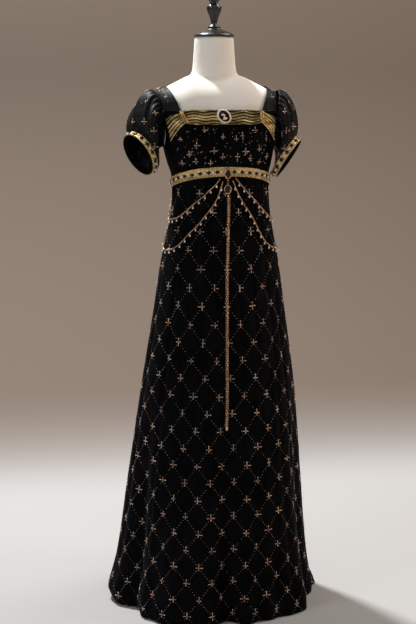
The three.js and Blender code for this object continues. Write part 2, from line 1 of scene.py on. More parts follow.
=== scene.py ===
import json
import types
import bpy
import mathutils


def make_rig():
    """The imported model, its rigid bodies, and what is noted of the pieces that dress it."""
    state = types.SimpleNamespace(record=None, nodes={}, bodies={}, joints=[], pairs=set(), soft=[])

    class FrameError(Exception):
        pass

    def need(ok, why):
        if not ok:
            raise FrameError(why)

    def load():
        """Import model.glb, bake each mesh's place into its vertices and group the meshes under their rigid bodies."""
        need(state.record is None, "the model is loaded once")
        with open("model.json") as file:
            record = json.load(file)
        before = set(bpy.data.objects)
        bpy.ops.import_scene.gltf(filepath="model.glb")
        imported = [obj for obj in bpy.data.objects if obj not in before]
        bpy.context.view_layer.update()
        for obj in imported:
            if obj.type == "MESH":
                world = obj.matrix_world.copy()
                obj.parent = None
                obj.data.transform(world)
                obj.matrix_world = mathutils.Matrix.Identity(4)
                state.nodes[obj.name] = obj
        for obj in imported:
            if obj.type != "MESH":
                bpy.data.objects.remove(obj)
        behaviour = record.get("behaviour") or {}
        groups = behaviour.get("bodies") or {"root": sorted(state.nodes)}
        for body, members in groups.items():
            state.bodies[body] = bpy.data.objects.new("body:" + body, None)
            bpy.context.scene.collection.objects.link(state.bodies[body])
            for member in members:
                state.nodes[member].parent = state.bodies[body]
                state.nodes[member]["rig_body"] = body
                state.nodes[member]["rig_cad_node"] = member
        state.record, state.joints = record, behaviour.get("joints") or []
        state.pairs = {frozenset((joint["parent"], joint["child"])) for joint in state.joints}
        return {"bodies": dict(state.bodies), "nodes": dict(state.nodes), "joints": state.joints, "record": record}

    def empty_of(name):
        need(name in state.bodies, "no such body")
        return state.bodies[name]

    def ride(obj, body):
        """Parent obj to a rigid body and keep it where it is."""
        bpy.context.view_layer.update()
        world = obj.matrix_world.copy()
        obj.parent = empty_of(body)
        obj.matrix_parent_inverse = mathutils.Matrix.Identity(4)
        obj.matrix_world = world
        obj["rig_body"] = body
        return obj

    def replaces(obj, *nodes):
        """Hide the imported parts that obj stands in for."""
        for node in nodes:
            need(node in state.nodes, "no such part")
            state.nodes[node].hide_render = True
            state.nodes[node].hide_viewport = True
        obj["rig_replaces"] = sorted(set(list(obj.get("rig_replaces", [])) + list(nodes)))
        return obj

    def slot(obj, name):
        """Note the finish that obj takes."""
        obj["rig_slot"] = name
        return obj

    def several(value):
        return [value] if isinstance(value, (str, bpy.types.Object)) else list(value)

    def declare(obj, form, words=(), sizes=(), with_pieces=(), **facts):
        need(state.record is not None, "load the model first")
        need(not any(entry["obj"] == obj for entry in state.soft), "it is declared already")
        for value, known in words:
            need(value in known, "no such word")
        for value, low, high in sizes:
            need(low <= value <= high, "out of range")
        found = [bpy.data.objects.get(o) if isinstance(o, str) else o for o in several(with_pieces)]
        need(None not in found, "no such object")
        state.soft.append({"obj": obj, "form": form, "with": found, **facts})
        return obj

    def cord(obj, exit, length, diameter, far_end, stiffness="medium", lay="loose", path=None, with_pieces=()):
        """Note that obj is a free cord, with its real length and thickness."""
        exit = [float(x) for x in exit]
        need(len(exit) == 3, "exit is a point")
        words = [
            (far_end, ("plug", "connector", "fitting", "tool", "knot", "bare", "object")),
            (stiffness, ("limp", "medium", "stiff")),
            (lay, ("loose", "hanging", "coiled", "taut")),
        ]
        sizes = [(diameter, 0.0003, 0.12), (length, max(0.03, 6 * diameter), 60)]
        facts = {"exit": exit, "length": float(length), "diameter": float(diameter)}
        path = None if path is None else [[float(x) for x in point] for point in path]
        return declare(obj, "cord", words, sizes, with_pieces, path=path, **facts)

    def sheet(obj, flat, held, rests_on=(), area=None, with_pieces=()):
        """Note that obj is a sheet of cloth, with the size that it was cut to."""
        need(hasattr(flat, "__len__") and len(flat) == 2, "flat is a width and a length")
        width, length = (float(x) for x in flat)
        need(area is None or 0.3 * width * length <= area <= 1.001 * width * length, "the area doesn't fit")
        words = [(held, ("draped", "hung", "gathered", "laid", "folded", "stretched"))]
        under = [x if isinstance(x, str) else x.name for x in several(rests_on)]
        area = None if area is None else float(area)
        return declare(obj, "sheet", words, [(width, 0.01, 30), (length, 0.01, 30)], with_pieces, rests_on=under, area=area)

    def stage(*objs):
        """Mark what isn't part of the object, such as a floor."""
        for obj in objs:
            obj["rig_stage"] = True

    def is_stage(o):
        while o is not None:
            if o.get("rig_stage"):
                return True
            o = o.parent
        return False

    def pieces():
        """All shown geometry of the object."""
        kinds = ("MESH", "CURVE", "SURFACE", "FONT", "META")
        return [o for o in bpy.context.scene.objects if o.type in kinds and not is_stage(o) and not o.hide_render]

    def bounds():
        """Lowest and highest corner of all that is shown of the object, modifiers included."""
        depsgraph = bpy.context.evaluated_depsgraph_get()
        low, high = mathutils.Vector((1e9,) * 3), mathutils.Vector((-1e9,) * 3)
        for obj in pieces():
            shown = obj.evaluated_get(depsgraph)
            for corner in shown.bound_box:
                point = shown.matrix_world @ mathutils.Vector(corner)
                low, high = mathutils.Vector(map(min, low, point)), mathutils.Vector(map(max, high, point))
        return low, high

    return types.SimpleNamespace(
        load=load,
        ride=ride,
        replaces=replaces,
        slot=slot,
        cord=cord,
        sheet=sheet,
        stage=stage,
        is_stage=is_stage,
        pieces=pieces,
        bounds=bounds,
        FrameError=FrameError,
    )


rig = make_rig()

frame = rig.load()

# %% [markdown]
# # Regency gown on a dress form
# A black velvet gown with a high waist, short puff sleeves, a pleated gold sash, a jewelled belt and
# hanging bead chains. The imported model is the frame: every piece below lies on the same cross-sections,
# so nothing has to be fitted by eye. First come the tools that all the pieces share.

# %% Imports and the size of the frame
import json
import math
import bpy
import numpy as np
from mathutils import Vector

cad_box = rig.bounds()
rng = np.random.default_rng(1811)
print("CAD box in metres:", [[round(v, 3) for v in corner] for corner in cad_box])

# %% [markdown]
# ## The gown's cross-sections
# A dressmaker fits a gown with a few measured girths. Here each girth is a rounded section with its
# own centre, half width, front depth and back depth, and smooth curves join one height to the next.

# %% Sections of the outer face, in metres: height, centre x and y, half width, front, back, squareness
SECTIONS = np.array([
    [0.000, -0.006, 0.012, 0.277, 0.284, 0.300, 2.0],
    [0.035, -0.008, 0.012, 0.280, 0.282, 0.300, 2.0],
    [0.060, -0.008, 0.012, 0.275, 0.278, 0.296, 2.0],
    [0.120, -0.005, 0.010, 0.262, 0.264, 0.282, 2.0],
    [0.200, -0.003, 0.006, 0.251, 0.252, 0.266, 2.0],
    [0.325, 0.000, 0.002, 0.238, 0.230, 0.246, 2.0],
    [0.480, 0.005, -0.002, 0.221, 0.206, 0.222, 2.0],
    [0.615, 0.009, -0.006, 0.205, 0.187, 0.197, 2.0],
    [0.800, 0.011, -0.014, 0.178, 0.158, 0.160, 2.0],
    [0.940, 0.011, -0.022, 0.158, 0.133, 0.134, 2.0],
    [1.045, 0.012, -0.027, 0.137, 0.113, 0.112, 2.0],
    [1.096, 0.012, -0.029, 0.131, 0.106, 0.103, 2.0],
    [1.165, 0.010, -0.030, 0.131, 0.101, 0.096, 2.0],
    [1.200, 0.008, -0.029, 0.140, 0.110, 0.097, 2.1],
    [1.240, 0.006, -0.028, 0.148, 0.118, 0.100, 2.3],
    [1.280, 0.004, -0.026, 0.154, 0.114, 0.102, 2.4],
    [1.310, 0.002, -0.024, 0.160, 0.104, 0.101, 2.5],
    [1.335, 0.001, -0.022, 0.166, 0.096, 0.098, 2.6],
])
# Valleys between the skirt's organ-pipe folds: degrees from the front, depth at the hem, half width, start
VALLEYS = [
    (-1.5, 0.042, 7, 0.870), (17, 0.016, 5, 0.750), (30, 0.012, 5, 0.800), (64, 0.034, 8, 0.700),
    (84, 0.012, 5, 0.500), (106, 0.020, 7, 0.950), (127, 0.022, 7, 0.950), (149, 0.020, 7, 0.950),
    (172, 0.024, 7, 0.950), (-26, 0.006, 8, 0.500), (-45, 0.016, 7, 0.780), (-65, 0.046, 9, 0.620),
    (-104, 0.020, 7, 0.950), (-126, 0.022, 7, 0.950), (-148, 0.020, 7, 0.950), (-172, 0.018, 7, 0.950),
]
# Places where the hem reaches out or curls in: degrees, reach, half width, height it fades in
HEM_LOBES = [(-40, 0.014, 12, 0.300), (48, 0.012, 12, 0.300), (95, 0.024, 10, 0.055), (-96, -0.012, 16, 0.030)]
FOLD_SWELL, FOLDS_FROM = 0.008, 0.950
WALL = 0.0012        # the visible cloth is a little thinner than its solid
HEM = 0.003
TORSO_TOP = 1.335
BELT_WIDTH, BELT_SIDE, BELT_RISE = 0.025, 1.157, 0.035
RIDGE_Y = -0.008
print("sections:", len(SECTIONS), "valleys:", len(VALLEYS))


# %% Smooth curves through the sections
def smoothstep(x):
    x = np.clip(x, 0.0, 1.0)
    return x * x * (3 - 2 * x)


def unit(vectors):
    return vectors / np.maximum(np.linalg.norm(vectors, axis=-1, keepdims=True), 1e-12)


def run_of(line):
    """Distance along a line of points, at each of them."""
    return np.concatenate([[0], np.cumsum(np.linalg.norm(np.diff(line, axis=0), axis=1))])


def pull_of(degrees, at, width):
    """Share of a fold's full depth at some angle: 1 at its middle, fading past its half width."""
    return np.exp(-((((degrees - at + 180) % 360 - 180) / width) ** 2))


def section(z):
    """The section's values at heights z, as an array with a last axis of six."""
    z = np.asarray(z, float)
    heights, values = SECTIONS[:, 0], SECTIONS[:, 1:]
    slopes = np.gradient(values, axis=0) / np.gradient(heights)[:, None]
    i = np.clip(np.searchsorted(heights, z) - 1, 0, len(heights) - 2)
    span = (heights[i + 1] - heights[i])[..., None]
    t = np.clip((z[..., None] - heights[i][..., None]) / span, 0, 1)
    return ((2 * t**3 - 3 * t**2 + 1) * values[i] + (t**3 - 2 * t**2 + t) * span * slopes[i]
            + (3 * t**2 - 2 * t**3) * values[i + 1] + (t**3 - t**2) * span * slopes[i + 1])


def section_point(angle, z, inset=0.0):
    """Point on a section: angle 0 is the front and a quarter turn is +X."""
    angle, z = np.broadcast_arrays(np.asarray(angle, float), np.asarray(z, float))
    cx, cy, a, front, back, n = np.moveaxis(section(z), -1, 0)
    s, c = np.sin(angle), np.cos(angle)
    depth = np.where(c > 0, front, back) - inset
    x = cx + (a - inset) * np.sign(s) * np.abs(s) ** (2 / n)
    y = cy - depth * np.sign(c) * np.abs(c) ** (2 / n)
    return np.stack([x, y, z], -1)


def pushed_out(surface, angle, z, amount, step=0.002):
    """Points of a surface moved outward and level, square to the way it runs round."""
    angle, z = np.broadcast_arrays(np.asarray(angle, float), np.asarray(z, float))
    way_round = unit(surface(angle + step, z) - surface(angle - step, z))
    outward = np.stack([way_round[..., 1], -way_round[..., 0], np.zeros_like(z)], -1)
    return surface(angle, z) + outward * amount(angle, z)[..., None]


print("underbust girth (m):", round(float(run_of(section_point(np.linspace(0, 2 * np.pi, 200), 1.165))[-1]), 3))

# %% [markdown]
# ## The folds of the skirt
# A flared skirt hangs in organ-pipe folds: rounded ridges that widen towards the hem, with narrow valleys between them.
# The valleys are listed one by one, so that the silhouette and the hem keep their character, and the same function
# moves the cloth, the beads on it and the chains that lie on it.

# %% Folds of the skirt
def fold_height(angle, z):
    degrees = np.degrees(angle)
    height = FOLD_SWELL * np.clip((FOLDS_FROM - z) / FOLDS_FROM, 0, 1)
    for at, depth, width, start in VALLEYS:
        height = height - depth * np.clip((start - z) / start, 0, 1) ** 1.2 * pull_of(degrees, at, width)
    for at, reach, width, fade in HEM_LOBES:
        height = height + reach * np.clip(1 - z / fade, 0, 1) * pull_of(degrees, at, width)
    return height


def skirt_point(angle, z):
    return pushed_out(section_point, angle, z, fold_height, 0.001)


def belt_top(angle):
    c = np.cos(angle)
    return BELT_SIDE + BELT_RISE * (c + np.sqrt(c * c + 0.02)) / 2


def waist_seam(angle):
    return belt_top(angle) - BELT_WIDTH / 2


def ridge(x):
    """Height of the shoulder's top: level by the neck, then falling towards the arm."""
    return 1.436 - 0.5 * (np.maximum(np.abs(x), 0.072) - 0.0625)


def shoulder_point(x, turn, inset=0.0):
    """Surface over the shoulder: turn runs from 0 at the front neckline over the top to pi at the back."""
    x, turn = np.broadcast_arrays(np.asarray(x, float), np.asarray(turn, float))
    cx, cy, a, front, back, n = section(np.array(TORSO_TOP))
    reach = np.minimum(np.abs(x - cx) / (a - inset), 1)
    in_front = turn < np.pi / 2
    depth = np.where(in_front, front - inset, -back + inset)
    edge = cy - depth * (1 - reach ** n) ** (1 / n)
    fullness = np.where(in_front, 1.0, 0.65)
    y = RIDGE_Y + (edge - RIDGE_Y) * np.abs(np.cos(turn)) ** fullness
    return np.stack([x, y, TORSO_TOP + (ridge(x) - inset - TORSO_TOP) * np.sin(turn)], -1)


print("hem round (m):", round(float(run_of(skirt_point(np.linspace(0, 2 * np.pi, 900), HEM))[-1]), 2))

# %% [markdown]
# ## Camera
# A portrait lens from nearly four metres, at chest height, keeps the tall gown upright without bending
# its sides. It looks slightly down and a little from the wearer's right.

# %% Camera
CAMERA_AZIMUTH, CAMERA_DISTANCE, CAMERA_HEIGHT = math.radians(-11), 3.9, 1.375
PITCH, SIDE_STEP = math.radians(8.5), 0.016
ahead = Vector((-math.sin(CAMERA_AZIMUTH), math.cos(CAMERA_AZIMUTH), 0))
to_right = Vector((math.cos(CAMERA_AZIMUTH), math.sin(CAMERA_AZIMUTH), 0))
camera_data = bpy.data.cameras.new("portrait lens")
camera_data.sensor_fit, camera_data.sensor_height = "VERTICAL", 36
camera_data.lens = 83.7
camera = bpy.data.objects.new("camera", camera_data)
camera.location = -ahead * CAMERA_DISTANCE - to_right * SIDE_STEP + Vector((0, 0, CAMERA_HEIGHT))
gaze = ahead * math.cos(PITCH) - Vector((0, 0, math.sin(PITCH)))
camera.rotation_euler = gaze.to_track_quat("-Z", "Y").to_euler()
bpy.context.scene.collection.objects.link(camera)
bpy.context.scene.camera = camera
print("camera at", [round(v, 3) for v in camera.location])

# %% [markdown]
# ## Tools for meshes
# Cloth is made as a closed shell between two grids of points, one for each face. Beads and stones are
# one small mesh repeated many times and joined, because a single mesh of a thousand beads is far
# quicker than a thousand objects.

# %% Mesh helpers
def new_object(name, vertices, faces, smooth=True):
    mesh = bpy.data.meshes.new(name)
    vertices = np.asarray(vertices, np.float32).reshape(-1, 3)
    faces = np.asarray(faces, np.int32)
    mesh.vertices.add(len(vertices))
    mesh.vertices.foreach_set("co", vertices.ravel())
    mesh.loops.add(faces.size)
    mesh.loops.foreach_set("vertex_index", faces.ravel())
    mesh.polygons.add(len(faces))
    mesh.polygons.foreach_set("loop_start", np.arange(len(faces), dtype=np.int32) * faces.shape[1])
    mesh.update(calc_edges=True)
    mesh.polygons.foreach_set("use_smooth", np.full(len(faces), smooth))
    obj = bpy.data.objects.new(name, mesh)
    bpy.context.scene.collection.objects.link(obj)
    return obj


def grid_faces(nu, nv, wrap=False, offset=0, flip=False):
    i, j = np.meshgrid(np.arange(nu if wrap else nu - 1), np.arange(nv - 1), indexing="ij")
    nxt = (i + 1) % nu
    quads = np.stack([i * nv + j, nxt * nv + j, nxt * nv + j + 1, i * nv + j + 1], -1).reshape(-1, 4) + offset
    return quads[:, ::-1] if flip else quads


def grid_normals(points, wrap=False):
    """Outward normals of a grid whose first direction turns about the outward side of the second."""
    du = (np.roll(points, -1, 0) - np.roll(points, 1, 0)) if wrap else np.gradient(points, axis=0)
    return unit(np.cross(du, np.gradient(points, axis=1)))


def cloth_shell(name, points, thickness=WALL, wrap=False, attributes=None):
    """Closed cloth shell whose outer face is the grid of points."""
    nu, nv = points.shape[:2]
    inner = points - grid_normals(points, wrap) * thickness
    m = nu * nv
    faces = [grid_faces(nu, nv, wrap), grid_faces(nu, nv, wrap, m, True)]
    i = np.arange(nu if wrap else nu - 1)
    a, b = i * nv, ((i + 1) % nu) * nv
    faces.append(np.stack([a, a + m, b + m, b], -1))
    a, b = a + nv - 1, b + nv - 1
    faces.append(np.stack([a, b, b + m, a + m], -1))
    if not wrap:
        j = np.arange(nv - 1)
        k = (nu - 1) * nv + j
        faces.append(np.stack([j, j + 1, j + 1 + m, j + m], -1))
        faces.append(np.stack([k, k + m, k + 1 + m, k + 1], -1))
    obj = new_object(name, np.concatenate([points.reshape(-1, 3), inner.reshape(-1, 3)]), np.concatenate(faces))
    for key, values in (attributes or {}).items():
        layer = obj.data.attributes.new(key, "FLOAT", "POINT")
        layer.data.foreach_set("value", np.tile(np.asarray(values, np.float32).ravel(), 2))
    return obj


print("mesh tools: objects, grids and cloth shells")


# %% Beads, tubes and placing
def frames_of(outward):
    """Right-handed frames (across, up, out) for outward directions, with up as near vertical as it can be."""
    out = unit(outward)
    across = unit(np.cross(np.array([0, 0, 1.0]), out))
    return np.stack([across, np.cross(out, across), out], -1)


def ball(rings=4, segments=6, dome=False):
    """Low-poly unit ball or dome about the third axis: vertices and triangles."""
    low = 0.0 if dome else -np.pi / 2
    turn = np.linspace(low, np.pi / 2, rings + 1)[(0 if dome else 1):-1]
    az = np.arange(segments) * 2 * np.pi / segments
    v = [np.stack([np.cos(t) * np.cos(az), np.cos(t) * np.sin(az), np.full(segments, np.sin(t))], -1) for t in turn]
    n, f = len(turn) * segments, []
    v = np.concatenate(v + [np.array([[0, 0, 1.0], [0, 0, -1.0 if not dome else 0.0]])])
    for r in range(len(turn) - 1):
        for s in range(segments):
            a, b = r * segments + s, r * segments + (s + 1) % segments
            f += [(a, b, b + segments), (a, b + segments, a + segments)]
    last = (len(turn) - 1) * segments
    f += [(last + s, last + (s + 1) % segments, n) for s in range(segments)]
    f += [((s + 1) % segments, s, n + 1) for s in range(segments)]
    return v, np.array(f)


def repeat(template, places, frames, scales):
    """Vertices and faces of a template put at each place in its frame, with sizes in the frame's axes."""
    v, f = template
    shaped = v[None] * np.broadcast_to(np.asarray(scales, float), (len(places), 3))[:, None, :]
    verts = np.einsum("nij,nkj->nki", frames, shaped) + places[:, None, :]
    faces = f[None] + (np.arange(len(places)) * len(v))[:, None, None]
    return verts.reshape(-1, 3), faces.reshape(-1, 3)


def joined(name, parts):
    starts = np.cumsum([0] + [len(v) for v, f in parts])
    return new_object(name, np.concatenate([v for v, f in parts]),
                      np.concatenate([f + start for (v, f), start in zip(parts, starts)]))


def tube(path, radius, sides=8):
    """Round tube along a path of points, closed at both ends."""
    path = np.asarray(path, float)
    tangent = unit(np.gradient(path, axis=0))
    side = unit(np.cross(tangent, np.array([0.13, 0.21, 1.0])))[:, None]
    up = np.cross(side, tangent[:, None])
    turn = (np.arange(sides) * 2 * np.pi / sides)[None, :, None]
    ring = path[:, None] + radius * (np.cos(turn) * side + np.sin(turn) * up)
    n = len(path)
    verts = np.concatenate([ring.reshape(-1, 3), path[[0, -1]]])
    q = [(r * sides + s, r * sides + (s + 1) % sides, (r + 1) * sides + (s + 1) % sides, (r + 1) * sides + s)
         for r in range(n - 1) for s in range(sides)]
    f = [t for a, b, c, d in q for t in ((a, c, b), (a, d, c))]
    f += [(n * sides, s, (s + 1) % sides) for s in range(sides)]
    f += [(n * sides + 1, (n - 1) * sides + (s + 1) % sides, (n - 1) * sides + s) for s in range(sides)]
    return verts, np.array(f)


def place(obj, material, slot_name, *nodes):
    """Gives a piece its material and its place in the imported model."""
    if material is not None:
        obj.data.materials.clear()
        obj.data.materials.append(material)
    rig.ride(obj, "root")
    if nodes:
        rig.replaces(obj, *nodes)
    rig.slot(obj, slot_name)
    return obj


def piece(name, parts, material, slot_name, *nodes):
    """Joins parts into one piece and puts it in its place."""
    return place(joined(name, parts), material, slot_name, *nodes)


BEAD, DOME = ball(4, 6), ball(2, 6, True)
print("one bead has", len(BEAD[1]), "triangles and one dot has", len(DOME[1]))

# %% [markdown]
# ## Finishes
# Velvet is nearly black face on, and its upright pile catches light at a grazing angle, which is what a
# sheen layer does. Lame is cloth woven with metal thread, so it is a rough metal with a fine weave. Two
# effects are shared: a mottle for nap, tarnish and dye, and a weave of crossed threads. Each of them
# is one node group.

# %% Shared node groups
def new_group(name, inputs, outputs):
    tree = bpy.data.node_groups.new(name, "ShaderNodeTree")
    for label, value in inputs:
        tree.interface.new_socket(name=label, in_out="INPUT", socket_type="NodeSocketFloat").default_value = value
    for label in outputs:
        tree.interface.new_socket(name=label, in_out="OUTPUT", socket_type="NodeSocketFloat")
    return tree, tree.nodes.new("NodeGroupInput"), tree.nodes.new("NodeGroupOutput")


def add_node(tree, kind, **values):
    """New shader node: a value goes to the socket of that name, or else to the node's own setting."""
    node = tree.nodes.new("ShaderNode" + kind)
    for key, value in values.items():
        label = key.replace("_", " ")
        if label in node.inputs:
            node.inputs[label].default_value = value
        else:
            setattr(node, key, value)
    return node


def wire(tree, *pairs):
    for source, target in pairs:
        tree.links.new(source, target)


mottle_group, g_in, g_out = new_group("mottle", [("Scale", 20), ("Stretch", 1), ("Low", 0), ("High", 1)], ["Value"])
coords = add_node(mottle_group, "TexCoord")
stretch = add_node(mottle_group, "CombineXYZ", X=1, Y=1)
stretched = add_node(mottle_group, "VectorMath", operation="MULTIPLY")
noise = add_node(mottle_group, "TexNoise", Detail=3)
spread = add_node(mottle_group, "MapRange", From_Min=0.32, From_Max=0.68)
wire(mottle_group, (g_in.outputs["Stretch"], stretch.inputs["Z"]), (coords.outputs["Object"], stretched.inputs[0]),
     (stretch.outputs[0], stretched.inputs[1]), (stretched.outputs[0], noise.inputs["Vector"]),
     (g_in.outputs["Scale"], noise.inputs["Scale"]), (noise.outputs["Fac"], spread.inputs["Value"]),
     (g_in.outputs["Low"], spread.inputs["To Min"]), (g_in.outputs["High"], spread.inputs["To Max"]),
     (spread.outputs[0], g_out.inputs["Value"]))

weave_group, g_in, g_out = new_group("weave", [("Scale", 300)], ["Height"])
coords, crossing = add_node(weave_group, "TexCoord"), add_node(weave_group, "Math", operation="ADD")
for k, direction in enumerate("XZ"):
    wave = add_node(weave_group, "TexWave", bands_direction=direction)
    wire(weave_group, (coords.outputs["Object"], wave.inputs["Vector"]), (g_in.outputs["Scale"], wave.inputs["Scale"]),
         (wave.outputs["Fac"], crossing.inputs[k]))
wire(weave_group, (crossing.outputs[0], g_out.inputs["Height"]))
print("node groups:", [g.name for g in bpy.data.node_groups])


# %% One function for every finish
FINER = 2.3          # the roughness changes over smaller patches than the colour


def finish_of(name, dark, light, roughness, metallic=0.0, mottle=(20, 1), bump=None, weave=None, **shader):
    """Principled material between two colours, mottled over the surface, with an optional pile or weave."""
    material = bpy.data.materials.new(name)
    material.use_nodes = True
    tree = material.node_tree
    bsdf = tree.nodes["Principled BSDF"]
    scale, stretch = mottle
    tone = add_node(tree, "Group", node_tree=mottle_group, Scale=scale, Stretch=stretch)
    ramp = add_node(tree, "Mix", data_type="RGBA", A=(*dark, 1), B=(*light, 1))
    rough = add_node(tree, "Group", node_tree=mottle_group, Scale=scale * FINER, Stretch=stretch,
                     Low=roughness[0], High=roughness[1])
    wire(tree, (tone.outputs["Value"], ramp.inputs["Factor"]), (ramp.outputs["Result"], bsdf.inputs["Base Color"]),
         (rough.outputs["Value"], bsdf.inputs["Roughness"]))
    bsdf.inputs["Metallic"].default_value = metallic
    for socket, value in shader.items():
        bsdf.inputs[socket.replace("_", " ")].default_value = value
    if bump or weave:
        scale, strength, distance = bump or weave
        height = add_node(tree, "Group", node_tree=mottle_group if bump else weave_group, Scale=scale)
        surface = add_node(tree, "Bump", Strength=strength, Distance=distance)
        wire(tree, (height.outputs[0], surface.inputs["Height"]), (surface.outputs["Normal"], bsdf.inputs["Normal"]))
    return material


# %% The finishes
VELVET = finish_of("black velvet", (0.0009, 0.0009, 0.0012), (0.0030, 0.0028, 0.0036), (0.7, 0.95), mottle=(26, 0.45),
                   bump=(420, 0.35, 0.0006), Sheen_Weight=0.018, Sheen_Roughness=0.28,
                   Sheen_Tint=(0.72, 0.82, 1.0, 1), Specular_IOR_Level=0.035)
LAME = finish_of("gold lame", (0.34, 0.235, 0.085), (0.66, 0.49, 0.22), (0.24, 0.36), 0.95, mottle=(22, 6),
                 weave=(420, 0.12, 0.0002), Anisotropic=0.35)


def shade_by(material, attribute, dark):
    """Darkens a finish where an attribute of the mesh falls to 0, as deep pleats hide from the light."""
    tree = material.node_tree
    base = tree.nodes["Principled BSDF"].inputs["Base Color"]
    source = base.links[0].from_socket
    depth = add_node(tree, "Attribute", attribute_name=attribute)
    veil = add_node(tree, "Mix", data_type="RGBA", A=(*dark, 1))
    wire(tree, (depth.outputs["Fac"], veil.inputs["Factor"]), (source, veil.inputs["B"]),
         (veil.outputs["Result"], base))
    return material


PLEATED_LAME = shade_by(finish_of(
    "pleated gold lame", (0.20, 0.13, 0.038), (0.84, 0.64, 0.31), (0.18, 0.32), 0.95, mottle=(16, 5),
    weave=(420, 0.10, 0.0002), Anisotropic=0.35), "open_to_light", (0.022, 0.013, 0.004))
SLEEVE_VELVET = finish_of("sleeve velvet", (0.0009, 0.0009, 0.0012), (0.0032, 0.0032, 0.0044), (0.34, 0.62),
                          mottle=(34, 0.6), bump=(420, 0.35, 0.0006), Sheen_Weight=0.012, Sheen_Roughness=0.22,
                          Sheen_Tint=(0.62, 0.78, 1.0, 1), Specular_IOR_Level=0.12)
GOLD = finish_of("gold plate", (0.52, 0.33, 0.13), (0.78, 0.55, 0.28), (0.18, 0.34), 1.0, mottle=(90, 1))
COPPER = finish_of("copper beads", (0.25, 0.12, 0.06), (0.82, 0.52, 0.31), (0.16, 0.34), 0.95, mottle=(210, 1))
ROSE_GOLD = finish_of("rose gold sequins", (0.16, 0.082, 0.050), (0.95, 0.62, 0.43), (0.22, 0.45), 0.78,
                      mottle=(140, 1))
SILVER = finish_of("silver-grey dots", (0.07, 0.062, 0.060), (0.36, 0.335, 0.32), (0.22, 0.45), 0.6, mottle=(60, 1))
PEARL = finish_of("pearls", (0.62, 0.54, 0.47), (0.90, 0.85, 0.78), (0.16, 0.3), 0.05, mottle=(120, 1),
                  Coat_Weight=0.4)
JET = finish_of("black stones", (0.001, 0.001, 0.0015), (0.004, 0.0035, 0.004), (0.08, 0.18), mottle=(150, 1),
                Specular_IOR_Level=0.35)
SHELL_PINK = finish_of("carved shell", (0.62, 0.38, 0.31), (0.86, 0.66, 0.58), (0.35, 0.5), mottle=(160, 1))
BLACK_SATIN = finish_of("black lacquer", (0.006, 0.006, 0.006), (0.014, 0.013, 0.013), (0.22, 0.36), mottle=(30, 1),
                        Coat_Weight=0.25)
STEEL = finish_of("brushed steel", (0.42, 0.42, 0.43), (0.62, 0.62, 0.64), (0.24, 0.36), 1.0, mottle=(40, 20),
                  Anisotropic=0.4)
FORM_CLOTH = finish_of("form jersey", (0.860, 0.800, 0.720), (0.900, 0.855, 0.790), (0.75, 0.9), mottle=(9, 1),
                       weave=(500, 0.12, 0.0003), Sheen_Weight=0.08)
print("finishes:", len(bpy.data.materials))

# %% [markdown]
# ## Studio
# The floor sweeps up into the wall as one sheet, so there is no hard horizon. It is pale under the gown and turns to a
# warm grey behind it: painted shade, for the light that falls off towards the wall. A large cool light stands at the
# left and a warm one at the right.

# %% Floor and wall in one sweep
FLOOR_END, SWEEP, WALL_TOP, REACH = 1.5, 1.5, 5.0, 40.0
turns = np.linspace(0, np.pi / 2, 25)
profile = np.concatenate([
    [[-REACH, 0.0], [-2.0, 0.0]],
    np.stack([FLOOR_END + SWEEP * np.sin(turns), SWEEP * (1 - np.cos(turns))], 1),
    [[FLOOR_END + SWEEP, WALL_TOP]],
])
sweep_points = np.array([[(x, y, z) for y, z in profile] for x in np.linspace(-REACH, REACH, 41)])
studio = new_object("studio sweep", sweep_points, grid_faces(*sweep_points.shape[:2]))
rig.stage(studio)
paint = bpy.data.materials.new("studio paint")
paint.use_nodes = True
tree = paint.node_tree
coords, axes = add_node(tree, "TexCoord"), add_node(tree, "SeparateXYZ")
# Painted shade: the colour darkens from the pale floor to warm grey up the sweep, where less light falls
rise = add_node(tree, "MapRange", interpolation_type="SMOOTHSTEP", From_Min=1.00, From_Max=2.20)
blend = add_node(tree, "Mix", data_type="RGBA", A=(0.44, 0.43, 0.425, 1), B=(0.150, 0.113, 0.089, 1))
matt = tree.nodes["Principled BSDF"]
matt.inputs["Roughness"].default_value = 0.85
wire(tree, (coords.outputs["Object"], axes.inputs[0]), (axes.outputs["Y"], rise.inputs["Value"]),
     (rise.outputs[0], blend.inputs["Factor"]), (blend.outputs["Result"], matt.inputs["Base Color"]))
# The wall is clear from its back, so that it doesn't hide the gown from behind
wall_side, clear, choice = (add_node(tree, kind) for kind in ("NewGeometry", "BsdfTransparent", "MixShader"))
wire(tree, (wall_side.outputs["Backfacing"], choice.inputs["Fac"]), (matt.outputs[0], choice.inputs[1]),
     (clear.outputs[0], choice.inputs[2]), (choice.outputs[0], tree.nodes["Material Output"].inputs["Surface"]))
studio.data.materials.append(paint)
print("studio sweep faces:", len(studio.data.polygons))

# %% Lights and room tone
LIGHTS = {  # name: place, size, watts, colour
    "high key from behind": ((-1.15, 1.75, 4.9), 0.35, 330, (0.97, 0.99, 1.0)),
    "cool side window": ((-4.4, -2.6, 2.6), 1.8, 62, (0.86, 0.93, 1.0)),
    "warm side lamp": ((4.2, -1.4, 2.0), 1.4, 52, (1.0, 0.74, 0.52)),
    "overhead softbox": ((-0.4, -1.6, 5.2), 2.6, 16, (1.0, 0.98, 0.95)),
    "front fill": ((-0.6, -5.6, 2.2), 1.6, 22, (1.0, 0.88, 0.74)),
    "backdrop wash": ((2.3, 0.9, 4.4), 2.0, 74, (1.0, 0.97, 0.94)),
}
for name, (spot, size, watts, colour) in LIGHTS.items():
    light = bpy.data.lights.new(name, "AREA")
    light.size, light.energy, light.color = size, watts, colour
    lamp = bpy.data.objects.new(name, light)
    lamp.location = spot
    aim = Vector((0, 2.2, 1.2)) if name == "backdrop wash" else Vector((0, 0, 0.95))
    lamp.rotation_euler = (aim - lamp.location).to_track_quat("-Z", "Y").to_euler()
    bpy.context.scene.collection.objects.link(lamp)
world = bpy.data.worlds.new("room tone")
world.use_nodes = True
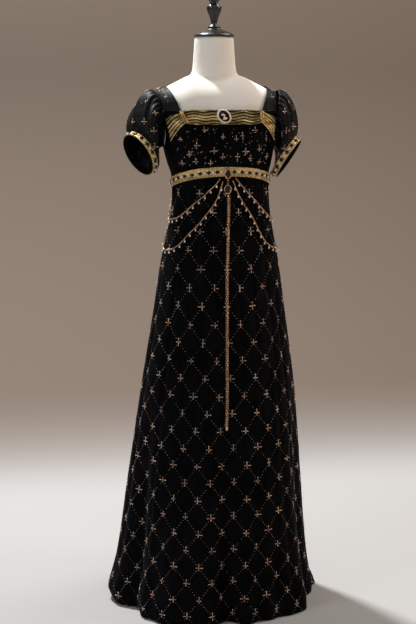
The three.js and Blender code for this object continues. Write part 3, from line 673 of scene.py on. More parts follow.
world.node_tree.nodes["Background"].inputs["Color"].default_value = (1.0, 0.95, 0.89, 1)
world.node_tree.nodes["Background"].inputs["Strength"].default_value = 0.17
bpy.context.scene.world = world
bpy.context.scene.view_settings.view_transform = "Standard"
print("lights:", list(LIGHTS))

# %% [markdown]
# ## Bead chains
# Four swags of small beads hang from the brooch to the belt at the side back, and a heavier chain hangs down the front
# from the jet drop. Each follows a listed route of points, the same route as its plain tube in the imported model. The
# beads are one joined mesh, so the chain can be measured as a cord.

# %% Routes: degrees round the skirt and height
SWAG_ROUTES = {
    "swag_upper_right": [
        (-8.5, 1.161), (-14, 1.145), (-21, 1.131), (-29, 1.114), (-39, 1.097), (-49, 1.079), (-57, 1.066),
        (-65, 1.057), (-74, 1.052), (-83, 1.050), (-91, 1.053), (-99, 1.064), (-106, 1.080), (-112, 1.103),
        (-116, 1.126)],
    "swag_lower_right": [
        (-5.5, 1.155), (-8.5, 1.134), (-12, 1.113), (-17, 1.093), (-23, 1.074), (-29, 1.056), (-35, 1.038),
        (-42, 1.021), (-49, 1.002), (-56, 0.985), (-66, 0.974), (-78, 0.971), (-90, 0.978), (-102, 1.000),
        (-113, 1.037), (-122, 1.084), (-128, 1.126)],
    "swag_upper_left": [
        (8.5, 1.163), (14, 1.148), (20, 1.132), (28, 1.114), (37, 1.095), (47, 1.075), (56, 1.061), (64, 1.053),
        (73, 1.049), (82, 1.048), (90, 1.052), (98, 1.062), (106, 1.080), (112, 1.103), (116, 1.126)],
    "swag_lower_left": [
        (5.5, 1.156), (9, 1.135), (13, 1.113), (18, 1.093), (24, 1.073), (29, 1.054), (33, 1.034), (37, 1.016),
        (41, 0.999), (48, 0.985), (57, 0.976), (68, 0.971), (80, 0.970), (92, 0.978), (104, 1.002),
        (114, 1.042), (123, 1.088), (128, 1.126)],
}
TAIL_ROUTE = [
    (0, 1.119), (-0.4, 1.090), (-1, 1.050), (-1.5, 1.012), (-2, 0.977), (-2.5, 0.938), (-3, 0.900), (-3.2, 0.848),
    (-3.3, 0.810), (-3.4, 0.770), (-3.4, 0.731), (-3.4, 0.692), (-3.3, 0.646), (-3.2, 0.600), (-3.1, 0.555),
    (-3, 0.510)]
SWAG_DIAMETER, TAIL_DIAMETER, CORD_LIFT = 0.005, 0.009, 0.0015
print("route points:", {name: len(route) for name, route in SWAG_ROUTES.items()}, len(TAIL_ROUTE))


# %% Laying a chain on the skirt
def lie_on_skirt(route, diameter):
    angle, z = np.array(route).T
    p = skirt_point(np.radians(angle), z)
    p[:, :2] += unit(p[:, :2] - section(z)[:, :2]) * (diameter / 2 + CORD_LIFT)
    return p


def smooth_line(points, per_span=12):
    """Catmull-Rom line through the points, then evenly spaced values along it are found with along()."""
    p = np.concatenate([[2 * points[0] - points[1]], points, [2 * points[-1] - points[-2]]])
    t = np.linspace(0, 1, per_span, endpoint=False)[:, None]
    line = [0.5 * (2 * b + (c - a) * t + (2 * a - 5 * b + 4 * c - d) * t**2 + (3 * b - a - 3 * c + d) * t**3)
            for a, b, c, d in zip(p, p[1:], p[2:], p[3:])]
    return np.concatenate(line + [points[-1:]])


def along(line, distances):
    """Places and directions at some distances along a line."""
    steps = run_of(line)
    at, ahead_at, behind = (np.stack([np.interp(np.asarray(distances) + step, steps, line[:, k]) for k in range(3)], 1)
                            for step in (0, 0.001, -0.001))
    return at, unit(ahead_at - behind)


def chain_frames(at, direction):
    """Frames with the third axis along the chain and the first one out of the skirt."""
    out = at - np.column_stack([section(at[:, 2])[:, :2], at[:, 2]])
    out = unit(out - (out * direction).sum(1, keepdims=True) * direction)
    return np.stack([out, np.cross(direction, out), direction], -1)


def laid_chain(route, diameter, first, last, pitch, thread_radius):
    """Line of a chain with its length, its thread, and places, directions and frames of its beads."""
    line = smooth_line(lie_on_skirt(route, diameter))
    length = run_of(line)[-1]
    at, direction = along(line, np.arange(first, length - last, pitch))
    thread = tube(along(line, np.linspace(0, length, 60))[0], thread_radius, 6)
    return line, length, thread, at, chain_frames(at, direction)


# %% Swags: small beads along the route, a drop of a small and a large pearl every 21 mm
DROP_EVERY = 0.021
for name, route in SWAG_ROUTES.items():
    line, length, thread, at, frames = laid_chain(route, SWAG_DIAMETER, 0.0024, 0.0012, 0.0048, 0.0008)
    swag = piece(name + "_beads", [repeat(BEAD, at, frames, (0.0019, 0.0019, 0.0024)), thread], COPPER,
                 "bead_chain", name)
    at, direction = along(line, np.arange(0.016, length - 0.01, DROP_EVERY))
    out = chain_frames(at, direction)[..., 0]
    charms = piece(name + "_drops", [
        repeat(BEAD, at + [0, 0, -gap] + out * 0.0008, frames_of(out), radii)
        for gap, radii in ((0.0040, 0.0011), (0.0080, (0.0027, 0.0032, 0.0024)))], PEARL, "bead_chain")
    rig.cord(swag, exit=line[0], length=length, diameter=0.0045, far_end="object", stiffness="limp",
            lay="hanging", path=line, with_pieces=[charms])
    print(name, "length", round(float(length), 3), "beads", len(frames), "drops", len(at))

# %% Hanging chain
# Large and small beads change sides down a thread, with one big bead at its end
line, length, thread, at, frames = laid_chain(TAIL_ROUTE, TAIL_DIAMETER, 0.003, 0.004, 0.0062, 0.0012)
side = frames[..., 1] * np.where(np.arange(len(at)) % 2 == 0, 1.0, -1.0)[:, None]
chain_tail = piece("chain_tail_beads", [repeat(BEAD, at + side * 0.0016, frames, (0.0027, 0.0028, 0.0032)), thread],
                   COPPER, "bead_chain", "chain_tail")
chain_sparks = piece("chain_tail_small_beads", [repeat(BEAD, at - side * 0.0034, frames, (0.0018, 0.0016, 0.0020))],
                     COPPER, "bead_chain")
end_at, end_direction = along(line, [length - 0.003])
end_bead = piece("chain_tail_end", [repeat(BEAD, end_at, chain_frames(end_at, end_direction), (0.0045, 0.0045, 0.006))],
                 GOLD, "bead_chain")
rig.cord(chain_tail, exit=line[0], length=length, diameter=TAIL_DIAMETER, far_end="knot", stiffness="limp",
        lay="hanging", path=line, with_pieces=[chain_sparks, end_bead])
print("hanging chain length", round(float(length), 3), "beads", 2 * len(at))

# %% [markdown]
# ## Skirt
# Six flared panels hang from the belt. They are gored: each is wider at the hem than at the waist, and
# the extra width falls into the organ-pipe folds. Between the main folds run a few finer creases, and
# small gathers start under the belt, because the velvet is eased into the waist seam.

# %% Where the panels and the fine creases are
PANELS = {
    "skirt_front": (-33, 33), "skirt_side_front_left": (33, 90), "skirt_side_back_left": (90, 147),
    "skirt_back": (147, 213), "skirt_side_back_right": (213, 270), "skirt_side_front_right": (270, 327),
}
# Finer creases: degrees at the waist, degrees at the hem, depth, half width in degrees, top, bottom
CREASES = [
    (-20, -30, 0.0035, 2.2, 1.10, 0.05), (-9, -13, 0.0028, 2.0, 1.12, 0.35), (9, 8, 0.0030, 2.0, 1.10, 0.10),
    (22, 24, 0.0030, 2.0, 1.09, 0.00), (40, 41, 0.0035, 2.4, 1.08, 0.00), (52, 53, 0.0040, 2.6, 1.05, 0.00),
    (-36, -37, 0.0035, 2.2, 1.05, 0.00), (-54, -55, 0.0035, 2.4, 1.02, 0.00), (-80, -82, 0.0040, 2.6, 1.00, 0.00),
    (76, 75, 0.0035, 2.4, 1.00, 0.00), (96, 97, 0.0035, 2.4, 1.02, 0.00), (116, 117, 0.0040, 2.6, 1.05, 0.00),
    (138, 139, 0.0040, 2.6, 1.05, 0.00), (161, 160, 0.0040, 2.6, 1.05, 0.00), (183, 184, 0.0035, 2.4, 1.05, 0.00),
    (-93, -94, 0.0035, 2.4, 1.02, 0.00), (-115, -116, 0.0040, 2.6, 1.05, 0.00), (-137, -137, 0.0040, 2.6, 1.05, 0.0),
    (-160, -161, 0.0040, 2.6, 1.05, 0.00),
]


def crease_height(angle, z):
    """Shallow troughs at listed places, and the small gathers that fade out below the belt."""
    degrees, height = np.degrees(angle), np.zeros(np.shape(angle))
    for top_at, hem_at, depth, width, top, bottom in CREASES:
        at = top_at + (hem_at - top_at) * np.clip((top - z) / (top - bottom), 0, 1)
        strength = smoothstep((top - z) / 0.25) * smoothstep((z - bottom) / 0.15 + 0.4)
        height = height - depth * strength * pull_of(degrees, at, width)
    ease = smoothstep((z - 0.95) / 0.17)
    return height - 0.0014 * ease * (0.5 + 0.5 * np.sin(angle * 46 + 1.3 * np.sin(angle * 9)))


def cloth_point(angle, z):
    """The skirt's outer face with its fine creases."""
    return pushed_out(skirt_point, angle, z, crease_height)


print("creases:", len(CREASES))


# %% Cloth pieces and their cut
def cut_of(points):
    """Flat width, length and area of a panel, measured on its own grid."""
    across_steps = np.linalg.norm(np.diff(points, axis=0), axis=-1).sum(0)
    down_steps = np.linalg.norm(np.diff(points, axis=1), axis=-1).sum(1)
    a, b = points[1:, 1:] - points[:-1, :-1], points[1:, :-1] - points[:-1, 1:]
    area = 0.5 * np.linalg.norm(np.cross(a, b), axis=-1).sum()
    length = float(down_steps.max())
    width = float(max(across_steps[0], area / length))
    return (width, length), float(min(area, width * length))


def cloth_piece(name, points, material, slot_name, held="hung", thickness=WALL, rests_on="form_body", wrap=False,
                attributes=None):
    shell = cloth_shell(name + "_cloth", points, thickness, wrap, attributes)
    place(shell, material, slot_name, name)
    flat, area = cut_of(np.concatenate([points, points[:1]]) if wrap else points)
    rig.sheet(shell, flat=flat, held=held, rests_on=rests_on, area=area)
    print(name, "cut", round(flat[0], 3), "x", round(flat[1], 3), "m, area", round(area, 4))


# %% The six panels
SEAM, SEAM_TURN = 0.0002, 0.06   # what a panel's edge stands back from the seam, in metres and in degrees
STRIPS, ROWS = 88, 104           # the rows lie closer together towards the waist's gathers
skirt_rows = 1 - (1 - np.linspace(0, 1, ROWS)) ** 1.25
for name, (start, end) in PANELS.items():
    angle = np.radians(np.linspace(start + SEAM_TURN, end - SEAM_TURN, STRIPS))[:, None]
    z = HEM + (waist_seam(angle) - SEAM - HEM) * skirt_rows[None, :]
    cloth_piece(name, cloth_point(angle, z), VELVET, "velvet", held="hung", rests_on="belt_front")

# %% [markdown]
# ## Beadwork on the skirt
# The velvet is covered with a lattice of diamonds. A four-petalled flower of rose gold sequins sits at each
# crossing with a few pale beads on its tips, and single grey beads follow the edges. The beader works on
# the flat cloth, so the lattice is laid out in cloth measure: distance round from the centre front or
# the centre back, and height. It is cut off at the side seams, as the cloth is.

# %% One flower, one bead and the lattice's measures
COLUMN, ROW_START, ROW_STEP, ROW_GROWTH = 0.0345, 0.028, 0.0415, 0.00017


def turned_by(angle):
    """Matrix that turns row vectors by an angle in the plane of their first two values."""
    c, s = math.cos(angle), math.sin(angle)
    return np.array([[c, s, 0], [-s, c, 0], [0, 0, 1]])


petal = DOME[0] * (0.0019, 0.0040, 0.0015) + (0, 0.0056, 0)
petals = [petal @ turned_by(k * np.pi / 2) for k in range(4)] + [DOME[0] * (0.0019, 0.0019, 0.0024)]
FLOWER = (np.concatenate(petals), np.concatenate([DOME[1] + len(DOME[0]) * k for k in range(5)]))
TIP_PLACES = np.array([[0, 0.0108, 0], [0.0108, 0, 0], [-0.0108, 0, 0], [0, -0.0108, 0]])
TIP_CHANCES = (0.8, 0.55, 0.3, 0.15)
print("one flower has", len(FLOWER[1]), "triangles")


def surface_frames(point_at, u, v, du=0.004, dv=0.004):
    """Places and frames on a surface whose first direction turns about the outward side of the second."""
    across = point_at(u + du, v) - point_at(u - du, v)
    out = np.cross(across, point_at(u, v + dv) - point_at(u, v - dv))
    return point_at(u, v), frames_of(out)


def beadwork(name, point_at, flowers, dots, lift=0.0002, size=1.0, du=0.004, dv=0.004):
    """Flowers and dots at surface places, as three joined meshes: petals, pale tips and grey dots."""
    def spots(pairs):
        places, frames = surface_frames(point_at, *np.array(pairs, float).T, du, dv)
        return places + frames[..., 2] * lift, frames

    places, frames = spots(flowers)
    sizes = size * rng.uniform(0.84, 1.06, (len(places), 1))
    piece(name + "_flowers", [repeat(FLOWER, places, frames, sizes)], ROSE_GOLD, "jewelled_trim")
    tips = []
    for spot, chance in zip(TIP_PLACES, TIP_CHANCES):
        chosen = rng.random(len(places)) < chance
        at = places[chosen] + np.einsum("nij,j->ni", frames[chosen], spot * size)
        tips.append(repeat(DOME, at, frames[chosen], size * rng.uniform(0.0014, 0.0020, (chosen.sum(), 1))))
    piece(name + "_pale_beads", tips, PEARL, "jewelled_trim")
    places, frames = spots(dots)
    sizes = size * rng.uniform(0.0011, 0.0018, (len(places), 1))
    piece(name + "_grey_beads", [repeat(DOME, places, frames, sizes)], SILVER, "jewelled_trim")
    print(name, len(flowers), "flowers,", len(dots), "dots")


# %% The lattice on the front and back halves of the skirt
levels = np.linspace(HEM, 1.15, 150)
for half, centre in (("front", 0.0), ("back", np.pi)):
    swing = np.radians(np.linspace(-90, 90, 721))
    table = cloth_point(centre + swing[:, None], levels[None, :])
    measure = np.cumsum(np.linalg.norm(np.diff(table[..., :2], axis=0), axis=-1), 0)
    measure = np.concatenate([np.zeros((1, len(levels))), measure]) - measure[359]

    def angle_at(s, z):
        """Angle round the skirt of a place s metres round from the centre, or nothing past the side seam."""
        k = min(max(int(np.searchsorted(levels, z)) - 1, 0), len(levels) - 2)
        t = (z - levels[k]) / (levels[k + 1] - levels[k])
        row = measure[:, k] * (1 - t) + measure[:, k + 1] * t
        return float(np.interp(s, row, swing)) if row[0] + 0.006 < s < row[-1] - 0.006 else None

    def lattice_place(i, j):
        """Cloth measure of a crossing: the columns drift a little where the front fold opens."""
        z = ROW_START + ROW_STEP * j + ROW_GROWTH * j * j
        return 0.012 - 0.0195 * min(max((z - 0.4) / 0.35, 0), 1) + COLUMN * i, z

    flowers, dots = [], []
    for j in range(-1, 26):
        for i in range(-34, 35):
            if (i + j) % 2:
                continue
            s, z = lattice_place(i, j)
            for step in (-1, 1):
                s_next, z_next = lattice_place(i + step, j + 1)
                for share in (0.2, 0.35, 0.5, 0.65, 0.8):
                    s_dot, z_dot = s + (s_next - s) * share, z + (z_next - z) * share
                    if z_dot > HEM + 0.004 and z_dot < 1.14 and rng.random() > 0.05:
                        turn = angle_at(s_dot, z_dot)
                        if turn is not None and z_dot < belt_top(centre + turn) - BELT_WIDTH - 0.004:
                            dots.append((centre + turn, z_dot))
            turn = angle_at(s, z) if HEM + 0.012 < z < 1.14 else None
            if turn is not None and z < belt_top(centre + turn) - BELT_WIDTH - 0.012:
                flowers.append((centre + turn, z))
    beadwork("skirt_" + half, cloth_point, flowers, dots, size=0.88)

# %% [markdown]
# ## Bodice and shoulders
# The bodice is cut in a front, two sides and two backs, with a shoulder piece over each shoulder. The
# front is gathered under the sash and again above the belt, and the ridges run straight up and down.

# %% Bodice
SIDE_SEAM, UNDERARM = 62, 1.240


def gather_height(angle, z):
    degrees = np.degrees(angle)
    bottom = waist_seam(angle)
    v = np.clip((z - bottom) / (TORSO_TOP - bottom), 0, 1)
    inside = smoothstep((SIDE_SEAM - np.abs(degrees)) / 10)
    broad = 0.0016 * np.sin(np.pi * np.clip(v / 0.75, 0, 1)) * (0.5 - 0.5 * np.cos(16 * np.pi * (degrees + 62) / 124))
    pulled = 0.35 + 0.65 * np.abs(2 * v / 0.8 - 1)
    fine = 0.0008 * pulled * np.sin(np.radians(degrees) * 44 + 0.8 * np.sin(np.radians(degrees) * 7 + 3 * v))
    return inside * (broad + fine) - 0.0008


def bodice_point(angle, z):
    return pushed_out(section_point, angle, z, gather_height)


def armhole_top(angle):
    across = (np.abs(np.degrees(angle)) - SIDE_SEAM) / (180 - 2 * SIDE_SEAM)
    return TORSO_TOP - (TORSO_TOP - UNDERARM) * np.sin(np.pi * np.clip(across, 0, 1)) ** 0.8


SHARES = np.linspace(0, 1, 48)[None, :]
for name, start, end in (
    ("bodice_front", -SIDE_SEAM, SIDE_SEAM), ("bodice_side_left", SIDE_SEAM, 180 - SIDE_SEAM),
    ("bodice_side_right", SIDE_SEAM - 180, -SIDE_SEAM), ("bodice_back_left", 180 - SIDE_SEAM, 180),
    ("bodice_back_right", -180, SIDE_SEAM - 180),
):
    angle = np.radians(np.linspace(start + 0.08, end - 0.08, 190 if name == "bodice_front" else 60))[:, None]
    upper = armhole_top(angle) if "side" in name else TORSO_TOP
    z = waist_seam(angle) + SEAM + (upper - waist_seam(angle) - 2 * SEAM) * SHARES
    cloth_piece(name, bodice_point(angle, z), VELVET, "velvet", held="gathered")


# %% Shoulder pieces
# Distances of both edges from the middle, at the neckline and on top of the shoulder
STRAP_INNER, STRAP_OUTER = (0.108, 0.135), (0.152, 0.165)
SIDES = (("left", 1), ("right", -1))


def between(ends, share):
    return ends[0] + (ends[1] - ends[0]) * share


def strap_point(sign):
    def point_at(u, v):
        rise = np.sin(np.pi * v)
        edges = between(STRAP_INNER, rise), between(STRAP_OUTER, rise)
        x = between(edges, u) if sign > 0 else -between(edges[::-1], u)
        return shoulder_point(x, np.pi * np.asarray(v, float))
    return point_at


for side, sign in SIDES:
    u, v = np.linspace(0, 1, 24)[:, None], np.linspace(0.003, 0.997, 90)[None, :]
    cloth_piece("strap_" + side, strap_point(sign)(u, v), SLEEVE_VELVET, "velvet", held="hung")

# %% Beads placed one by one on the bodice: degrees round and height
BODICE_FLOWERS = [
    (-17, 1.286), (-2, 1.268), (7, 1.263), (13, 1.271), (27, 1.285), (-28, 1.247), (-11, 1.233), (17, 1.231),
    (34, 1.236), (-39, 1.223), (-4, 1.217), (9, 1.218), (-17, 1.201), (37, 1.203), (-47, 1.262), (44, 1.262),
    (-52, 1.200), (50, 1.216), (24, 1.213), (-33, 1.205),
]
BODICE_DOTS = [
    (-22, 1.272), (-13, 1.277), (-8, 1.252), (2, 1.240), (20, 1.252), (23, 1.269), (30, 1.258), (-25, 1.229),
    (-20, 1.218), (5, 1.288), (-6, 1.290), (35, 1.277), (-36, 1.268), (-33, 1.283), (12, 1.246), (0, 1.203),
    (14, 1.203), (28, 1.198), (-9, 1.196), (-42, 1.243), (40, 1.247), (-24, 1.195), (20, 1.290), (-44, 1.205),
]
def in_radians(pairs):
    return [(math.radians(degrees), level) for degrees, level in pairs]


beadwork("bodice_front", bodice_point, in_radians(BODICE_FLOWERS), in_radians(BODICE_DOTS), size=0.78)
scattered = np.radians(rng.uniform(-56, 56, 64)), rng.uniform(1.196, 1.292, 64)
places, frames = surface_frames(bodice_point, *scattered)
piece("bodice_scattered_beads", [repeat(DOME, places, frames, rng.uniform(0.0007, 0.0014, (64, 1)))], PEARL,
      "jewelled_trim")
# The back has a lattice: half a column in degrees, and a row in metres
HALF_COLUMN, ROW, BACK_EDGE = 6.75, 0.043, 58
back_flowers, back_dots = [], []
for j in range(4):
    for i in range(-4, 5):
        away, z = i * 2 * HALF_COLUMN + (HALF_COLUMN if j % 2 else 0), 1.180 + ROW * j
        if abs(away) < BACK_EDGE:
            back_flowers.append((180 + away, z))
            back_dots += [(180 + away + step * HALF_COLUMN * share, z + ROW * share)
                          for step in (-1, 1) for share in (0.3, 0.5, 0.7)
                          if z + ROW * share < 1.325 and abs(away + step * HALF_COLUMN * share) < BACK_EDGE]
beadwork("bodice_back", bodice_point, in_radians(back_flowers), in_radians(back_dots), size=0.92)
for side, sign in SIDES:
    flowers = [(0.5, v) for v in (0.2, 0.36, 0.52, 0.68, 0.84)]
    dots = [(u, v) for v in (0.12, 0.28, 0.44, 0.60, 0.76) for u in (0.25, 0.75, 0.5)]
    beadwork("strap_" + side, strap_point(sign), flowers, dots, size=0.72, du=0.01)

# %% [markdown]
# ## Puff sleeves
# Each sleeve is a short tube of velvet, gathered into the armhole at the top and into a band at the
# cuff, so that it stands out round between them. Its root follows the armhole, its mouth is a round cuff
# held away from the body, and four control points carry each strip of cloth from one to the other.

# %% Sleeve surface
ARMHOLE_Y, ARMHOLE_Z, ARMHOLE_DEPTH, ARMHOLE_HEIGHT = -0.020, 1.315, 0.058, 0.073
CUFF_RADIUS, CUFF_BAND, SLEEVE_GAP, BAND_SHARE = 0.058, 0.019, 0.0004, 0.86
CUFFS = {
    "right": (-1, np.array([-0.212, -0.045, 1.220]), np.array([-0.81, -0.37, -0.46])),
    "left": (1, np.array([0.195, -0.045, 1.207]), np.array([0.774, -0.314, -0.553])),
}


def side_reach(y, z):
    """Half width of the body where the armhole passes at depth y and height z."""
    cx, cy, a, front, back, n = np.moveaxis(section(np.minimum(z, TORSO_TOP)), -1, 0)
    rise = np.clip((z - TORSO_TOP) / (ridge(STRAP_OUTER[1]) - TORSO_TOP), 0, 0.99)
    flat_y = RIDGE_Y + (y - RIDGE_Y) / np.sqrt(1 - rise**2)
    depth = np.where(flat_y < cy, front, back)
    reach = a * np.maximum(1 - (np.abs(flat_y - cy) / depth) ** n, 0.2) ** (1 / n)
    return np.where(z < TORSO_TOP, reach, np.maximum(reach, between(STRAP_OUTER, rise) + 0.001))


def sleeve_point(side):
    sign, centre, facing = CUFFS[side]
    n = unit(facing)
    up = unit(np.array([0, 0, 1.0]) - n * n[2])
    forward = np.cross(n, up) * sign

    def point_at(turn, share):
        """turn runs round from the top, share from 0 at the armhole to 1 at the cuff's edge."""
        a, share = np.broadcast_arrays(sign * np.asarray(turn, float), np.asarray(share, float))
        cos, sin = np.cos(a)[..., None], np.sin(a)[..., None]
        y, z = ARMHOLE_Y - ARMHOLE_DEPTH * sin[..., 0], ARMHOLE_Z + ARMHOLE_HEIGHT * cos[..., 0]
        root_x = section(np.minimum(z, TORSO_TOP))[..., 0] + sign * (side_reach(y, z) + SLEEVE_GAP)
        root = np.stack([root_x, y, z], -1)
        radial = up * cos + forward * sin
        edge = centre + radial * CUFF_RADIUS
        band = edge - n * CUFF_BAND
        head = root + np.concatenate([np.full_like(cos, sign * 0.034), -0.014 * sin, 0.008 * cos], -1)
        full = band + radial * (0.024 + 0.013 * cos) + n * 0.004
        t = np.clip(share / BAND_SHARE, 0, 1)[..., None]
        p = (1 - t)**3 * root + 3 * (1 - t)**2 * t * head + 3 * (1 - t) * t**2 * full + t**3 * band
        plump = np.sin(np.pi * t[..., 0])
        folds = (0.0026 * np.cos(11 * a) + 0.0011 * np.cos(19 * a + 1.4 * np.sin(3 * a))) * plump
        ends = np.exp(-((t[..., 0] / 0.22) ** 2)) + np.exp(-(((1 - t[..., 0]) / 0.18) ** 2))
        folds = folds + 0.0016 * ends * np.cos(31 * a + 0.9 * np.sin(5 * a)) * (t[..., 0] > 0) * (t[..., 0] < 1)
        folds = folds + 0.0022 * plump * np.sin(5 * a + 5 * t[..., 0]) - 0.0010 * plump
        p = p + radial * folds[..., None]
        past = np.clip((share - BAND_SHARE) / (1 - BAND_SHARE), 0, 1)[..., None]
        p = np.where(share[..., None] >= BAND_SHARE, band + (edge - band) * past, p)
        body = section(np.clip(p[..., 2], 1.160, TORSO_TOP))
        clear = body[..., 2] + SLEEVE_GAP + 0.003
        inside = (share > 0.2) & (np.abs(p[..., 0] - body[..., 0]) < clear)
        p[..., 0] = np.where(inside, body[..., 0] + sign * clear, p[..., 0])
        return p
    return point_at


# %% The two sleeves
SLEEVE_STRIPS, SLEEVE_ROWS, CUFF_ROWS = 200, 48, 8
for side in CUFFS:
    turn = np.linspace(0, 2 * np.pi, SLEEVE_STRIPS, endpoint=False)[:, None]
    puff, cuff = np.linspace(0, BAND_SHARE, SLEEVE_ROWS), np.linspace(BAND_SHARE, 1, CUFF_ROWS)[1:]
    share = np.concatenate([puff, cuff])[None, :]
    cloth_piece("sleeve_" + side, sleeve_point(side)(turn, share), SLEEVE_VELVET, "velvet", held="gathered",
                rests_on="bodice_side_" + side, wrap=True)

# %% Beads on the sleeves: turn from the top towards the front in degrees, share of the length
SLEEVE_FLOWERS = [
    (0, 0.16), (8, 0.42), (0, 0.68), (32, 0.28), (40, 0.58), (66, 0.20), (72, 0.46), (76, 0.72), (100, 0.32),
    (108, 0.62), (-30, 0.28), (-38, 0.58), (-68, 0.22), (-74, 0.48), (-80, 0.74), (-108, 0.34), (-116, 0.64),
    (140, 0.5), (-148, 0.5),
]
SLEEVE_DOTS = [(a + da, min(s + ds, 0.8)) for a, s in SLEEVE_FLOWERS
               for da, ds in ((14, 0.08), (-14, 0.08), (20, -0.06))]
for side in CUFFS:
    beadwork("sleeve_" + side, sleeve_point(side), in_radians(SLEEVE_FLOWERS), in_radians(SLEEVE_DOTS), size=0.78,
             du=0.02, dv=0.01)

# %% [markdown]
# ## Gold sash
# A band of gold lame crosses the neckline, pressed into narrow pleats that are pinched together at two
# beaded clasps and under the cameo. Beyond the clasps it fans out to the armholes.

# %% Sash
SASH_EDGE, SASH_LOW, SASH_HIGH, WING_EDGE, PLEATS = 31, 1.299, 1.337, 60.5, 5
SASH_ROWS, SASH_LIFT, LAME_WALL = 72, 0.0014, 0.0008


def sash_point(angle, z):
    p = section_point(angle, np.minimum(z, TORSO_TOP))
    p[..., 2] = np.broadcast_to(z, p.shape[:-1])
    return p


def pleat_height(v, wander):
    """Narrow pleats with sharp valleys, as they come from the iron."""
    phase = v * PLEATS + wander
    return 0.0030 * np.abs(np.sin(np.pi * phase)) ** 0.8 + 0.0007 * np.sin(2 * np.pi * phase * 2.3 + 1.0)


def pleated(name, angle, bottom, top, wander, pinch):
    v = np.linspace(0, 1, SASH_ROWS)[None, :]
    points, height = sash_point(angle, bottom + (top - bottom) * v), pleat_height(v, wander)
    points = points + grid_normals(points) * (SASH_LIFT + height * pinch)[..., None]
    openness = smoothstep((height - 0.0009) / 0.0022) * np.ones(points.shape[:2])
    cloth_piece(name, points, PLEATED_LAME, "lame", held="folded", thickness=LAME_WALL,
                rests_on="bodice_front", attributes={"open_to_light": openness})


angle = np.radians(np.linspace(-SASH_EDGE, SASH_EDGE, 150))[:, None]
u = np.degrees(angle) / SASH_EDGE
near_cameo, near_clasps = np.exp(-((u / 0.3) ** 2)), smoothstep((np.abs(u) - 0.7) / 0.3)
wander = 0.55 * u + 0.35 * np.sin(5.2 * u + 0.7) * near_cameo + 0.25 * np.sin(11 * u)
waist_in = 0.0022 * near_clasps
pleated("sash_front", angle, SASH_LOW + waist_in, SASH_HIGH - waist_in, wander, 0.8 + 0.5 * near_clasps)
CLASP_AT, WING_TOP, WING_BOTTOM = SASH_EDGE + 1.2, (1.332, 1.311), (1.304, 1.257)
for side, sign in SIDES:
    ends = sorted((sign * (CLASP_AT - 0.8), sign * WING_EDGE))
    angle = np.radians(np.linspace(*ends, 64))[:, None]
    spread_out = np.clip((np.abs(np.degrees(angle)) - CLASP_AT) / (WING_EDGE - CLASP_AT), 0, 1)
    top, bottom = between(WING_TOP, spread_out ** 1.4), between(WING_BOTTOM, spread_out ** 1.2)
    pleated("sash_wing_" + side, angle, bottom, top, 0.3 * spread_out, 0.9 + 0.4 * spread_out)

# %% [markdown]
# ## Jewelled belt and cuff bands
# The belt and the cuffs are bands of gold braid between two round edge cords. Black oblong stones and
# pearls take turns along the middle, each in its own gold setting, with tiny beads between them. One
# function trims any closed band, given its surface.

# %% One function for a jewelled band
# Braid, edge beads, then stones and pearls in their settings, with fine beads between them
FINE_SETTING, BRAID = ball(4, 12, True), 0.0012


